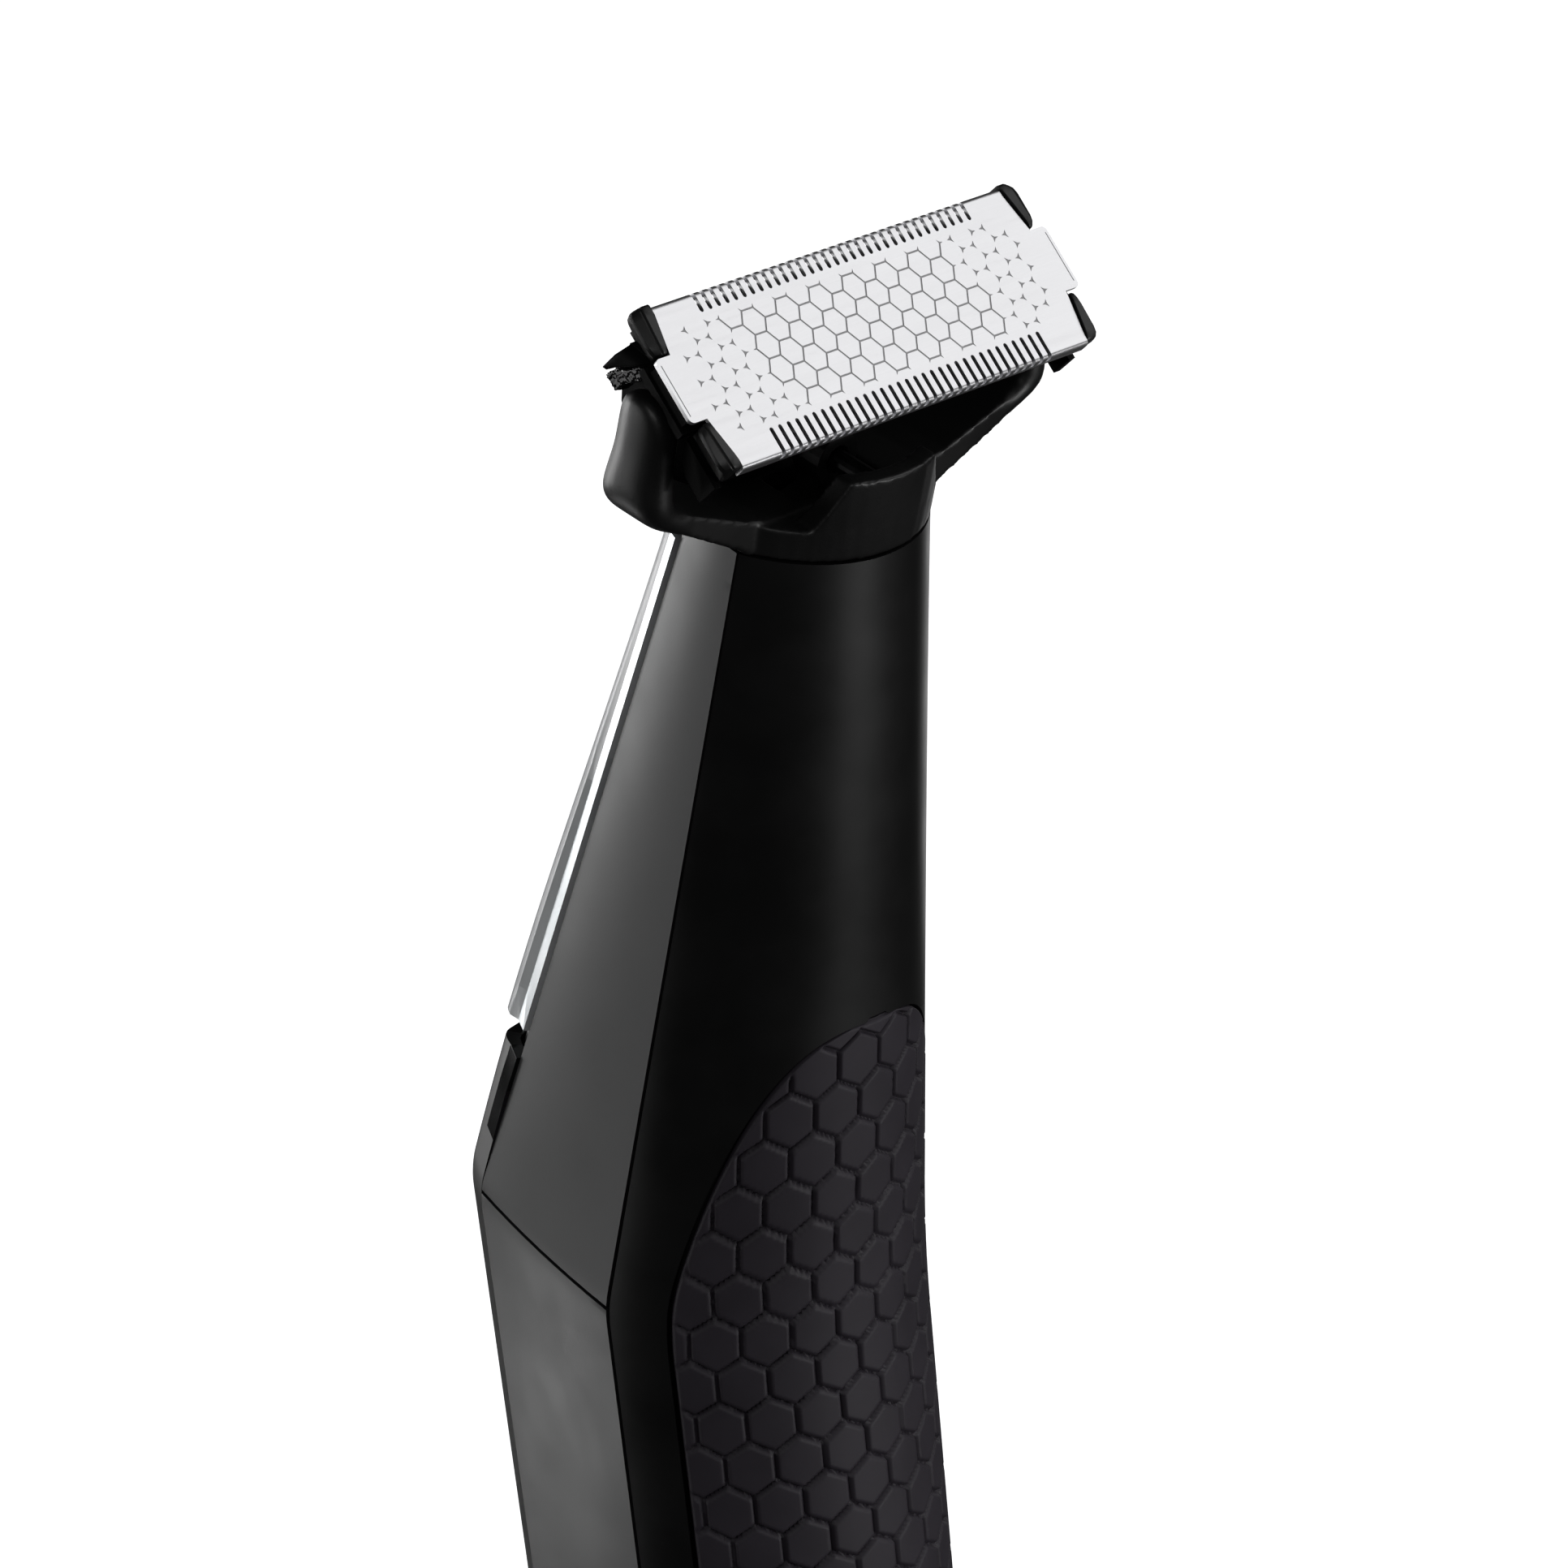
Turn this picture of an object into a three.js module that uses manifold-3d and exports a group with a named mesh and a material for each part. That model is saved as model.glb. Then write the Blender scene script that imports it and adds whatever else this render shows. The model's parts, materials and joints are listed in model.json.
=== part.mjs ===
// A cordless foil shaver: a bent handle with a motor, a battery and a rubber grip, and a pull-off head
// with a tilting cartridge, in which a drive lever rocks a cutter under a slotted steel foil.
// Millimetres, +Z up. The lower handle stands on the origin, the front faces -Y and the head leans to +Y.

import * as THREE from 'three';
import { mergeVertices } from 'three/addons/utils/BufferGeometryUtils.js';
import Module from 'manifold-3d';

const wasm = await Module();
wasm.setup();

const degrees = Math.PI / 180;

// ---------------------------------------------------------------- driving dimensions

const GAP = 0.3; // between pieces that touch
const WALL = 2; // casing wall
const HANDLE_LENGTH = 90; // base to bend, along the lower axis
const NECK_LENGTH = 57.7; // bend to head seam, along the neck axis
const NECK_LEAN = 21 * degrees;
const NECK_SHIFT = 6.15; // the collar's centre stands this far in front of the bend's centre
const BASE_TAPER = 0.9; // base outline as a share of the outline at the bend
const DRIVE_Y = 3.6; // motor axis, in the neck frame

const PIVOT_Y = 3; // cartridge pivot axis, in the neck frame
const PIVOT_Z = 11.5;
const CARTRIDGE_TILT = 34 * degrees;
const FOIL_TOP = 4.95; // foil surface above the pivot axis
const FOIL_HALF_LENGTH = 17.3;
const FOIL_HALF_WIDTH = 6.4;
const FOIL_THICKNESS = 0.3;
const SLOT_PITCH = 0.833;
const SLOTS_PER_SIDE = 33;

const YOKE_HALF_SPAN = 20.2;
const ARM_INNER = 17.7;
const ARM_RADIUS = 2.75;
const RIM_Y = 6.3; // open back of the yoke

// The handle's outline at three places. The back is an arc up to the parting line, the sides are flat
// from there to an edge, a bevel runs from the edge to the shoulder, and the front is slightly crowned.
const neckSection = {
  backY: 0, backRadius: 10.8, partingAngle: 29.4 * degrees,
  edgeX: 7.8, edgeY: -0.9, shoulderX: 7.1, shoulderY: -2.7, frontY: -3.5,
};
const bendSection = {
  backY: 1.3, backRadius: 14.35, partingAngle: 7 * degrees,
  edgeX: 11.3, edgeY: -12.3, shoulderX: 9.4, shoulderY: -15.2, frontY: -16.1,
};
const baseSection = { partingAngle: bendSection.partingAngle };
for (const size of ['backY', 'backRadius', 'edgeX', 'edgeY', 'shoulderX', 'shoulderY', 'frontY']) {
  baseSection[size] = bendSection[size] * BASE_TAPER;
}
const BEND_Z = 87; // height of the bend at the parting line
const BEND_SLOPE_FRONT = 0.35; // the bend's crease falls this much per millimetre towards the back
const BEND_SLOPE_BACK = 0.12;

// ---------------------------------------------------------------- materials

function material(name, colour, roughness, metalness) {
  const made = new THREE.MeshStandardMaterial({ color: colour, roughness, metalness });
  made.name = name;
  return made;
}

const blackCase = material('black_case', 0x141416, 0.45, 0);
const greyCase = material('grey_case', 0x3a3b3d, 0.5, 0);
const blackRubber = material('black_rubber', 0x1b1a1f, 0.8, 0);
const brightPlate = material('bright_plate', 0xc9ccd0, 0.25, 1);
const greyTrim = material('grey_trim', 0x9a9da1, 0.4, 0);
const glossBlack = material('gloss_black', 0x08080a, 0.15, 0);
const foilSteel = material('foil_steel', 0xd4d5d6, 0.3, 1);
const steel = material('steel', 0xa9abad, 0.35, 1);
const whitePlastic = material('white_plastic', 0xd8d6cf, 0.5, 0);
const brass = material('brass', 0xb99a4e, 0.4, 1);
const copper = material('copper', 0xa9622f, 0.45, 1);
const magnetGrey = material('magnet_grey', 0x3a3b3e, 0.6, 0.5);
const boardGreen = material('board_green', 0x1d4a2c, 0.5, 0);
const cellWrap = material('cell_wrap', 0x2f5f93, 0.45, 0);
const leadRed = material('lead_red', 0x8e1f1a, 0.5, 0);
const leadBlack = material('lead_black', 0x161616, 0.5, 0);
const clearLens = material('clear_lens', 0xdfe6ea, 0.2, 0);

// ---------------------------------------------------------------- solids

/** A closed geometry as a manifold solid. */
function solidOf(geometry) {
  const bare = geometry.clone();
  bare.deleteAttribute('normal');
  bare.deleteAttribute('uv');
  const merged = mergeVertices(bare, 1e-4);
  const mesh = new wasm.Mesh({
    numProp: 3,
    vertProperties: new Float32Array(merged.attributes.position.array),
    triVerts: new Uint32Array(merged.index.array),
  });
  return new wasm.Manifold(mesh);
}

/** A manifold solid back as a geometry. */
function geometryOf(solid) {
  const mesh = solid.getMesh();
  const geometry = new THREE.BufferGeometry();
  geometry.setAttribute('position', new THREE.BufferAttribute(new Float32Array(mesh.vertProperties), 3));
  geometry.setIndex(new THREE.BufferAttribute(new Uint32Array(mesh.triVerts), 1));
  geometry.computeVertexNormals();
  return geometry;
}

/** The first geometry less the others. */
function cut(body, ...tools) {
  return geometryOf(tools.reduce((rest, tool) => rest.subtract(solidOf(tool)), solidOf(body)));
}

/** All the geometries as one. */
function join(body, ...others) {
  return geometryOf(others.reduce((whole, other) => whole.add(solidOf(other)), solidOf(body)));
}

/** What all the geometries have in common. */
function common(body, ...others) {
  return geometryOf(others.reduce((rest, other) => rest.intersect(solidOf(other)), solidOf(body)));
}

/** A box between two corners. */
function block(x0, x1, y0, y1, z0, z1) {
  const box = new THREE.BoxGeometry(x1 - x0, y1 - y0, z1 - z0);
  return box.translate((x0 + x1) / 2, (y0 + y1) / 2, (z0 + z1) / 2);
}

/** A round bar along Z, X or Y, from one end to the other, centred on the two other coordinates. */
function rod(axis, radius, from, to, centre = [0, 0], sides = 24) {
  const bar = new THREE.CylinderGeometry(radius, radius, to - from, sides);
  const middle = (from + to) / 2;
  if (axis === 'x') return bar.rotateZ(Math.PI / 2).translate(middle, centre[0], centre[1]);
  if (axis === 'y') return bar.translate(centre[0], middle, centre[1]);
  return bar.rotateX(Math.PI / 2).translate(centre[0], centre[1], middle);
}

const planes = {
  xy: new THREE.Matrix4(),
  xz: new THREE.Matrix4().makeBasis(
    new THREE.Vector3(1, 0, 0), new THREE.Vector3(0, 0, 1), new THREE.Vector3(0, -1, 0)),
  yz: new THREE.Matrix4().makeBasis(
    new THREE.Vector3(0, 1, 0), new THREE.Vector3(0, 0, 1), new THREE.Vector3(1, 0, 0)),
};

/** A shape drawn in a plane and drawn out across it, from one coordinate to another. */
function drawOut(shape, plane, from, to, curveSegments = 8) {
  const solid = new THREE.ExtrudeGeometry(shape, { depth: to - from, bevelEnabled: false, curveSegments });
  solid.translate(0, 0, plane === 'xz' ? -to : from);
  return solid.applyMatrix4(planes[plane]);
}

function polygon(...points) {
  return new THREE.Shape(points.map(([x, y]) => new THREE.Vector2(x, y)));
}

/** A rectangle with round corners, centred on a point. */
function roundedBox(width, height, radius, centreX = 0, centreY = 0) {
  const shape = new THREE.Shape();
  const x = width / 2 - radius;
  const y = height / 2 - radius;
  shape.absarc(centreX + x, centreY + y, radius, 0, Math.PI / 2);
  shape.absarc(centreX - x, centreY + y, radius, Math.PI / 2, Math.PI);
  shape.absarc(centreX - x, centreY - y, radius, Math.PI, 1.5 * Math.PI);
  shape.absarc(centreX + x, centreY - y, radius, 1.5 * Math.PI, 2 * Math.PI);
  return shape;
}

/** A closed geometry from corners and faces of three or four corners, its faces turned outwards. */
function fromFaces(corners, faces) {
  const triangles = [];
  for (const face of faces) {
    for (let k = 2; k < face.length; k += 1) triangles.push([face[0], face[k - 1], face[k]]);
  }
  let volume = 0;
  for (const [a, b, c] of triangles) {
    volume += corners[a].dot(new THREE.Vector3().crossVectors(corners[b], corners[c]));
  }
  const index = triangles.flatMap(([a, b, c]) => (volume < 0 ? [a, c, b] : [a, b, c]));
  const geometry = new THREE.BufferGeometry().setFromPoints(corners);
  geometry.setIndex(index);
  geometry.computeVertexNormals();
  return geometry;
}

/** A solid drawn over convex rings with equal numbers of points. */
function loft(rings) {
  const count = rings[0].length;
  const corners = rings.flat();
  const faces = [];
  for (let row = 0; row < rings.length - 1; row += 1) {
    for (let k = 0; k < count; k += 1) {
      const next = (k + 1) % count;
      faces.push([row * count + k, row * count + next, (row + 1) * count + next, (row + 1) * count + k]);
    }
  }
  const first = [...Array(count).keys()].reverse();
  faces.push(first, first.map((k) => (rings.length - 1) * count + count - 1 - k));
  return fromFaces(corners, faces);
}

/** A thin solid between two grids of points with equal rows and columns. */
function sheet(outer, inner) {
  const rows = outer.length;
  const columns = outer[0].length;
  const corners = [...outer.flat(), ...inner.flat()];
  const top = (r, c) => r * columns + c;
  const bottom = (r, c) => rows * columns + r * columns + c;
  const faces = [];
  for (let r = 0; r < rows - 1; r += 1) {
    for (let c = 0; c < columns - 1; c += 1) {
      faces.push([top(r, c), top(r, c + 1), top(r + 1, c + 1), top(r + 1, c)]);
      faces.push([bottom(r, c), bottom(r + 1, c), bottom(r + 1, c + 1), bottom(r, c + 1)]);
    }
  }
  for (let c = 0; c < columns - 1; c += 1) {
    const last = rows - 1;
    faces.push([top(0, c), bottom(0, c), bottom(0, c + 1), top(0, c + 1)]);
    faces.push([top(last, c), top(last, c + 1), bottom(last, c + 1), bottom(last, c)]);
  }
  for (let r = 0; r < rows - 1; r += 1) {
    const last = columns - 1;
    faces.push([top(r, 0), top(r + 1, 0), bottom(r + 1, 0), bottom(r, 0)]);
    faces.push([top(r, last), bottom(r, last), bottom(r + 1, last), top(r + 1, last)]);
  }
  return fromFaces(corners, faces);
}

/** A wire or lead of round section along a curve. */
function wire(curve, radius, steps, sides = 8) {
  const circle = new THREE.Shape().absarc(0, 0, radius, 0, 2 * Math.PI);
  return new THREE.ExtrudeGeometry(circle, { steps, extrudePath: curve, curveSegments: sides / 2 });
}

class Helix extends THREE.Curve {
  constructor(radius, length, turns) {
    super();
    Object.assign(this, { radius, length, turns });
  }

  getPoint(t, target = new THREE.Vector3()) {
    const angle = 2 * Math.PI * this.turns * t;
    return target.set(this.radius * Math.cos(angle), this.radius * Math.sin(angle), this.length * (t - 0.5));
  }
}

function named(name, geometry, finish) {
  const mesh = new THREE.Mesh(geometry, finish);
  mesh.name = name;
  return mesh;
}

// ---------------------------------------------------------------- the handle's surface

const bend = new THREE.Vector3(0, 0, HANDLE_LENGTH);
const neckGroup = new THREE.Group();
neckGroup.rotation.x = -NECK_LEAN;
neckGroup.position.copy(bend).sub(
  new THREE.Vector3(0, NECK_SHIFT, -NECK_LENGTH).applyEuler(neckGroup.rotation));
neckGroup.updateMatrix();

const lerp = THREE.MathUtils.lerp;
const bendPartingY = bendSection.backY + bendSection.backRadius * Math.sin(bendSection.partingAngle);

/** Where a point of the outline lies: t is 0 at the head seam, 1 at the bend and 2 at the base. */
function onHandle(pick, t) {
  const [bendX, bendY] = pick(bendSection);
  const slope = bendY < bendPartingY ? BEND_SLOPE_FRONT : BEND_SLOPE_BACK;
  const atBend = new THREE.Vector3(bendX, bendY, BEND_Z - slope * (bendY - bendPartingY));
  if (t > 1) {
    const [baseX, baseY] = pick(baseSection);
    return atBend.lerp(new THREE.Vector3(baseX, baseY, 0), t - 1);
  }
  const [neckX, neckY] = pick(neckSection);
  const atNeck = new THREE.Vector3(neckX, neckY, 0).applyMatrix4(neckGroup.matrix);
  return atNeck.lerp(atBend, t);
}

/** A point on the back, from one parting line (s = 0) round to the other (s = 1). */
function backPoint(s, inset) {
  return (section) => {
    const angle = lerp(section.partingAngle, Math.PI - section.partingAngle, s);
    const radius = section.backRadius - inset;
    return [radius * Math.cos(angle), section.backY + radius * Math.sin(angle)];
  };
}

/** A point on the front, from one shoulder (v = -1) across to the other (v = 1). */
function frontPoint(v, inset) {
  return (section) => {
    const crown = (section.shoulderY - section.frontY) * v * v;
    return [v * (section.shoulderX - 0.7 * inset), section.frontY + inset + crown];
  };
}

/** The edge between a flat side and the bevel, on the right (side = 1) or the left (side = -1). */
function edgePoint(side, inset) {
  return (section) => [side * (section.edgeX - inset), section.edgeY + 0.4 * inset];
}

const BACK_STEPS = 18;
const FRONT_SHARES = [-1, -2 / 3, -1 / 3, 0, 1 / 3, 2 / 3, 1];

/** The points of the whole outline, drawn in by an inset: each gives its place in a section. */
function outlinePicks(inset) {
  const picks = [];
  for (let k = 0; k <= BACK_STEPS; k += 1) picks.push(backPoint(k / BACK_STEPS, inset));
  picks.push(edgePoint(-1, inset));
  for (const v of FRONT_SHARES) picks.push(frontPoint(v, inset));
  picks.push(edgePoint(1, inset));
  return picks;
}

/** The handle's outline at t. */
function outline(t, inset) {
  return outlinePicks(inset).map((pick) => onHandle(pick, t));
}

/** Everything behind the parting line, or in front of it, between two places along the handle. */
function halfSpace(side, from, to) {
  const far = 60;
  const corner = (x, atParting) => (section) => {
    const parting = section.backY + section.backRadius * Math.sin(section.partingAngle);
    return [x, atParting ? parting + (side * GAP) / 2 : side * far];
  };
  const stops = [from, ...(from < 1 && to > 1 ? [1] : []), to];
  const rings = stops.map((t) => [
    onHandle(corner(-far, true), t), onHandle(corner(far, true), t),
    onHandle(corner(far, false), t), onHandle(corner(-far, false), t),
  ]);
  return loft(rings);
}

function handleShell() {
  const outside = loft([0, 1, 2].map((t) => outline(t, 0)));
  const inside = loft([-0.05, 1, 2.05].map((t) => outline(t, WALL)));
  return cut(outside, inside);
}

/** A thin solid between two rows of outline points, along a stretch of the handle. */
function patch(from, to, outerPicks, innerPicks) {
  const stops = [from, ...(from < 1 && to > 1 ? [1] : []), to];
  const grid = (picks) => stops.map((t) => picks.map((pick) => onHandle(pick, t)));
  return sheet(grid(outerPicks), grid(innerPicks));
}

/** A point on the bevel, some way along it from the edge and some way in from its surface. */
function bevelPoint(side, along, depth) {
  return (section) => {
    const run = new THREE.Vector2(section.shoulderX - section.edgeX, section.shoulderY - section.edgeY);
    run.normalize();
    return [
      side * (section.edgeX + run.x * along + run.y * depth),
      section.edgeY + run.y * along - run.x * depth,
    ];
  };
}

/** A patch laid on the front of the handle, within a half width. */
function frontPatch(from, to, halfWidth, proud, depth) {
  const picks = (inset) => FRONT_SHARES.map(
    (v) => (section) => frontPoint((v * halfWidth) / section.shoulderX, inset)(section));
  return patch(from, to, picks(-proud), picks(depth));
}

/** A patch that wraps the whole front and both bevels, up to a margin from the edges, where it thins. */
function frontWrap(from, to, margin, proud, depth) {
  const picks = (inset) => [
    bevelPoint(-1, margin, Math.max(inset, -margin)),
    ...FRONT_SHARES.map((v) => frontPoint(v, inset)),
    bevelPoint(1, margin, Math.max(inset, -margin)),
  ];
  return patch(from, to, picks(-proud), picks(depth));
}

// ---------------------------------------------------------------- casings and grip

const PLATE_PROUD = 0.5;
const PLATE_DEPTH = 0.6;
const PLATE_FROM = 2.6 / NECK_LENGTH;
const PLATE_TO = 43.8 / NECK_LENGTH;
const PLATE_HALF_WIDTH = 5.6;
const PANEL_FROM = 46 / NECK_LENGTH;
const PANEL_TO = 1.52;

const GRIP_TOP = 0.615;
const GRIP_BOTTOM = 1.9;
const GRIP_HALF_SPAN = 0.381;
const GRIP_PROUD = 0.05;
const GRIP_DEPTH = 0.8;

const BUTTON_Z = 66;
const LENS_Z = 50;
const LENS_FACE = -15.5;

/** Half of the grip's width at t, as a share of the back: a round arch above a straight strip. */
function gripHalfSpan(t) {
  const rise = THREE.MathUtils.clamp((t - GRIP_TOP) / (1 - GRIP_TOP), 0, 1);
  const foot = THREE.MathUtils.clamp((GRIP_BOTTOM - t) / 0.08, 0, 1);
  const arch = (1 - (1 - rise) ** 2) ** 0.36;
  const corner = Math.sqrt(1 - (1 - foot) ** 2);
  return GRIP_HALF_SPAN * arch * lerp(0.7, 1, corner);
}

function gripSheet(proud, depth, margin) {
  const stops = [0.617, 0.63, 0.65, 0.69, 0.75, 0.83, 0.91, 1, 1.4, 1.82, 1.86, 1.9];
  const grid = (inset) => stops.map((t) => {
    const row = [];
    const half = gripHalfSpan(t) + margin / 40;
    const end = t === stops[0] ? -margin : t === GRIP_BOTTOM ? margin : 0;
    for (let k = 0; k <= 12; k += 1) {
      const place = t + end / (t > 1 ? HANDLE_LENGTH : NECK_LENGTH);
      row.push(onHandle(backPoint(0.5 + half * (k / 6 - 1), inset), place));
    }
    return row;
  });
  return sheet(grid(-proud), grid(depth));
}

function rearCasing() {
  const half = common(handleShell(), halfSpace(1, -0.1, 2.1));
  return cut(half, gripSheet(3, GRIP_DEPTH + GAP, GAP));
}

/** The round-ended hole for the power button, drawn along Y. */
function buttonHole(margin) {
  const shape = roundedBox(8 + 2 * margin, 13 + 2 * margin, 4 + margin - 0.01, 0, BUTTON_Z);
  return drawOut(shape, 'xz', -25, -9);
}

function upperFrontCasing() {
  const half = common(handleShell(), halfSpace(-1, -0.1, 1 - GAP / 2 / NECK_LENGTH));
  return cut(
    half,
    frontWrap(PLATE_FROM - GAP / NECK_LENGTH, 1.02, 0, 3, PLATE_DEPTH + GAP),
  );
}

function lowerFrontCasing() {
  const half = common(handleShell(), halfSpace(-1, 1 + GAP / 2 / HANDLE_LENGTH, 2.1));
  return cut(
    half,
    frontWrap(0.98, PANEL_TO + GAP / HANDLE_LENGTH, 0, 3, PLATE_DEPTH + GAP),
    buttonHole(GAP),
    rod('y', 1.2 + GAP, -25, -9, [0, LENS_Z], 16),
  );
}

function fasciaPlate() {
  return frontPatch(PLATE_FROM + 1.1 / NECK_LENGTH, PLATE_TO - 1.1 / NECK_LENGTH, PLATE_HALF_WIDTH,
    PLATE_PROUD, PLATE_DEPTH);
}

function fasciaBezel() {
  const strip = frontWrap(PLATE_FROM, PLATE_TO, GAP, PLATE_PROUD - 0.15, PLATE_DEPTH);
  const window = frontPatch(PLATE_FROM + 0.8 / NECK_LENGTH, PLATE_TO - 0.8 / NECK_LENGTH,
    PLATE_HALF_WIDTH + GAP, 3, 3);
  return cut(strip, window);
}

function lowerPanel() {
  const panel = frontWrap(PANEL_FROM, PANEL_TO, GAP, 0, PLATE_DEPTH);
  return cut(panel, buttonHole(GAP), rod('y', 1.2 + GAP, -25, -9, [0, LENS_Z], 16));
}

function handlePieces() {
  return [
    named('rear_casing', rearCasing(), blackCase),
    named('upper_front_casing', upperFrontCasing(), greyCase),
    named('lower_front_casing', lowerFrontCasing(), greyCase),
    named('rubber_grip', gripSheet(GRIP_PROUD, GRIP_DEPTH, 0), blackRubber),
    named('fascia_plate', fasciaPlate(), greyTrim),
    named('fascia_bezel', fasciaBezel(), brightPlate),
    named('lower_panel', lowerPanel(), glossBlack),
  ];
}

// ---------------------------------------------------------------- base, battery and electronics

const CAP_HEIGHT = 4;
const SOCKET_Y = -8;
const SCREW_X = 6;
const SCREW_Y = 6;
const CELL_RADIUS = 7;
const CELL_FROM = 20;
const CELL_TO = 69;
const CELL_Y = 3;
const BOARD_Y = -7.6;
const BOARD_THICKNESS = 1.2;
const SWITCH_KEY_Y = BOARD_Y - 3.6;

/** A plug with the casing's inner outline. */
function innerPlug(fromZ, toZ, inset) {
  return loft([fromZ, toZ].map((z) => outline(2 - z / HANDLE_LENGTH, inset)));
}

function baseCap() {
  const seats = [-SCREW_X, SCREW_X].flatMap((x) => [
    rod('z', 1.9, -1, 1.8, [x, SCREW_Y], 16),
    rod('z', 1.1, -1, CAP_HEIGHT + 1, [x, SCREW_Y], 16),
  ]);
  const socketHole = drawOut(roundedBox(9.6, 4, 1.9, 0, SOCKET_Y), 'xy', -1, CAP_HEIGHT + 1, 5);
  return cut(innerPlug(0, CAP_HEIGHT, WALL + GAP), socketHole, ...seats);
}

function baseScrew(x) {
  const head = rod('z', 1.6, 0.4, 1.5, [x, SCREW_Y], 16);
  const shank = rod('z', 0.8, 1.4, 9, [x, SCREW_Y], 12);
  return join(head, shank);
}

function chargingSocket() {
  const outside = drawOut(roundedBox(9, 3.4, 1.6, 0, SOCKET_Y), 'xy', 0.3, 7.6, 5);
  const inside = drawOut(roundedBox(8.2, 2.6, 1.2, 0, SOCKET_Y), 'xy', 0, 7, 5);
  return cut(outside, inside);
}

function baseGasket() {
  const rim = (inset) => innerPlug(CAP_HEIGHT + GAP, CAP_HEIGHT + 1.1, inset);
  return cut(rim(WALL + GAP), innerPlug(CAP_HEIGHT, CAP_HEIGHT + 2, WALL + 1.5));
}

/** A trough round the back of the cell, with an end wall above and below it. */
function chassis() {
  const trough = new THREE.Shape();
  const start = -20 * degrees;
  trough.absarc(0, CELL_Y, CELL_RADIUS + 1.7, start, Math.PI - start);
  trough.absarc(0, CELL_Y, CELL_RADIUS + GAP + 0.1, Math.PI - start, start, true);
  const ends = [CELL_FROM - 2.6, CELL_TO + 1.4].map((z) => common(
    rod('z', CELL_RADIUS + 1.7, z, z + 1.2, [0, CELL_Y], 20),
    block(-20, 20, CELL_Y - 3.2, 20, z - 1, z + 2)));
  return join(drawOut(trough, 'xy', CELL_FROM - 2.6, CELL_TO + 2.6, 10), ...ends);
}

function batteryCell() {
  const can = rod('z', CELL_RADIUS, CELL_FROM, CELL_TO - 1, [0, CELL_Y], 28);
  const button = rod('z', 2.6, CELL_TO - 1.1, CELL_TO, [0, CELL_Y], 16);
  return join(can, button);
}

/** A nickel strip from a cell's end to the circuit board. */
function batteryTab(z) {
  const front = BOARD_Y + BOARD_THICKNESS + GAP;
  const strip = block(-2, 2, front, CELL_Y + 2, z, z + GAP);
  const foot = block(-2, 2, front, front + GAP, z - 2, z + 0.1);
  return join(strip, foot);
}

function electricPieces() {
  const board = block(-8.4, 8.4, BOARD_Y, BOARD_Y + BOARD_THICKNESS, 10, 84);
  const switchBody = block(-3, 3, BOARD_Y - 3.2, BOARD_Y - GAP, BUTTON_Z - 3, BUTTON_Z + 3);
  const switchKey = rod('y', 1.6, SWITCH_KEY_Y, BOARD_Y - 3, [0, BUTTON_Z], 16);
  return [
    named('base_cap', baseCap(), blackCase),
    named('base_gasket', baseGasket(), blackRubber),
    named('base_screw_left', baseScrew(-SCREW_X), steel),
    named('base_screw_right', baseScrew(SCREW_X), steel),
    named('charging_socket', chargingSocket(), steel),
    named('socket_tongue', block(-3.2, 3.2, SOCKET_Y - 0.35, SOCKET_Y + 0.35, 1.4, 6.7), leadBlack),
    named('chassis', chassis(), whitePlastic),
    named('battery_cell', batteryCell(), cellWrap),
    named('battery_tab_positive', batteryTab(CELL_TO + GAP), steel),
    named('battery_tab_negative', batteryTab(CELL_FROM - 0.7), steel),
    named('circuit_board', board, boardGreen),
    named('tact_switch', join(switchBody, switchKey), leadBlack),
    named('indicator_lens', rod('y', 1.2, LENS_FACE, BOARD_Y - 1, [0, LENS_Z], 16), clearLens),
  ];
}

// ---------------------------------------------------------------- power button

const BUTTON_FACE = -16.5;
const BUTTON_TRAVEL = 0.5;

function powerButton() {
  const cap = drawOut(roundedBox(8, 13, 3.99, 0, BUTTON_Z), 'xz', BUTTON_FACE, -13.4);
  const stem = rod('y', 1.3, -13.5, SWITCH_KEY_Y - GAP - BUTTON_TRAVEL, [0, BUTTON_Z], 16);
  return join(cap, stem);
}

/** A thin rubber frame behind the casing, round the button's stem. */
function buttonMembrane() {
  const ring = drawOut(roundedBox(13, 17, 4, 0, BUTTON_Z), 'xz', -12.2, -11.8);
  return cut(ring, rod('y', 1.3 + GAP, -14, -10, [0, BUTTON_Z], 16));
}

// ---------------------------------------------------------------- motor, in the neck's frame

const MOTOR_RADIUS = 6;
const MOTOR_TOP = -12;
const MOTOR_BOTTOM = -36;
const DRIVE_CENTRE = [0, DRIVE_Y];
const ECCENTRIC = 0.6;

/** A plug with the neck's inner outline, upright on the neck's axis. */
function neckPlug(fromZ, toZ, inset) {
  const ring = (z) => outlinePicks(inset).map((pick) => new THREE.Vector3(...pick(neckSection), z));
  return loft([ring(fromZ), ring(toZ)]);
}

const SPIGOT_TOP = 1.2;
const SPIGOT_BOTTOM = -6.5;
const SPIGOT_FLOOR = 1.2;
const SPIGOT_BORE = 4;

function neckSpigot() {
  const bore = rod('z', SPIGOT_BORE, SPIGOT_BOTTOM + SPIGOT_FLOOR, SPIGOT_TOP + 1, DRIVE_CENTRE, 24);
  const sealSeat = rod('z', 2.2, SPIGOT_BOTTOM - 1, SPIGOT_BOTTOM + 3, DRIVE_CENTRE, 20);
  return cut(neckPlug(SPIGOT_BOTTOM, SPIGOT_TOP, WALL + GAP), bore, sealSeat);
}

function washer(outer, inner, from, to, sides = 20) {
  return cut(
    rod('z', outer, from, to, DRIVE_CENTRE, sides),
    rod('z', inner, from - 1, to + 1, DRIVE_CENTRE, sides));
}

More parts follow.
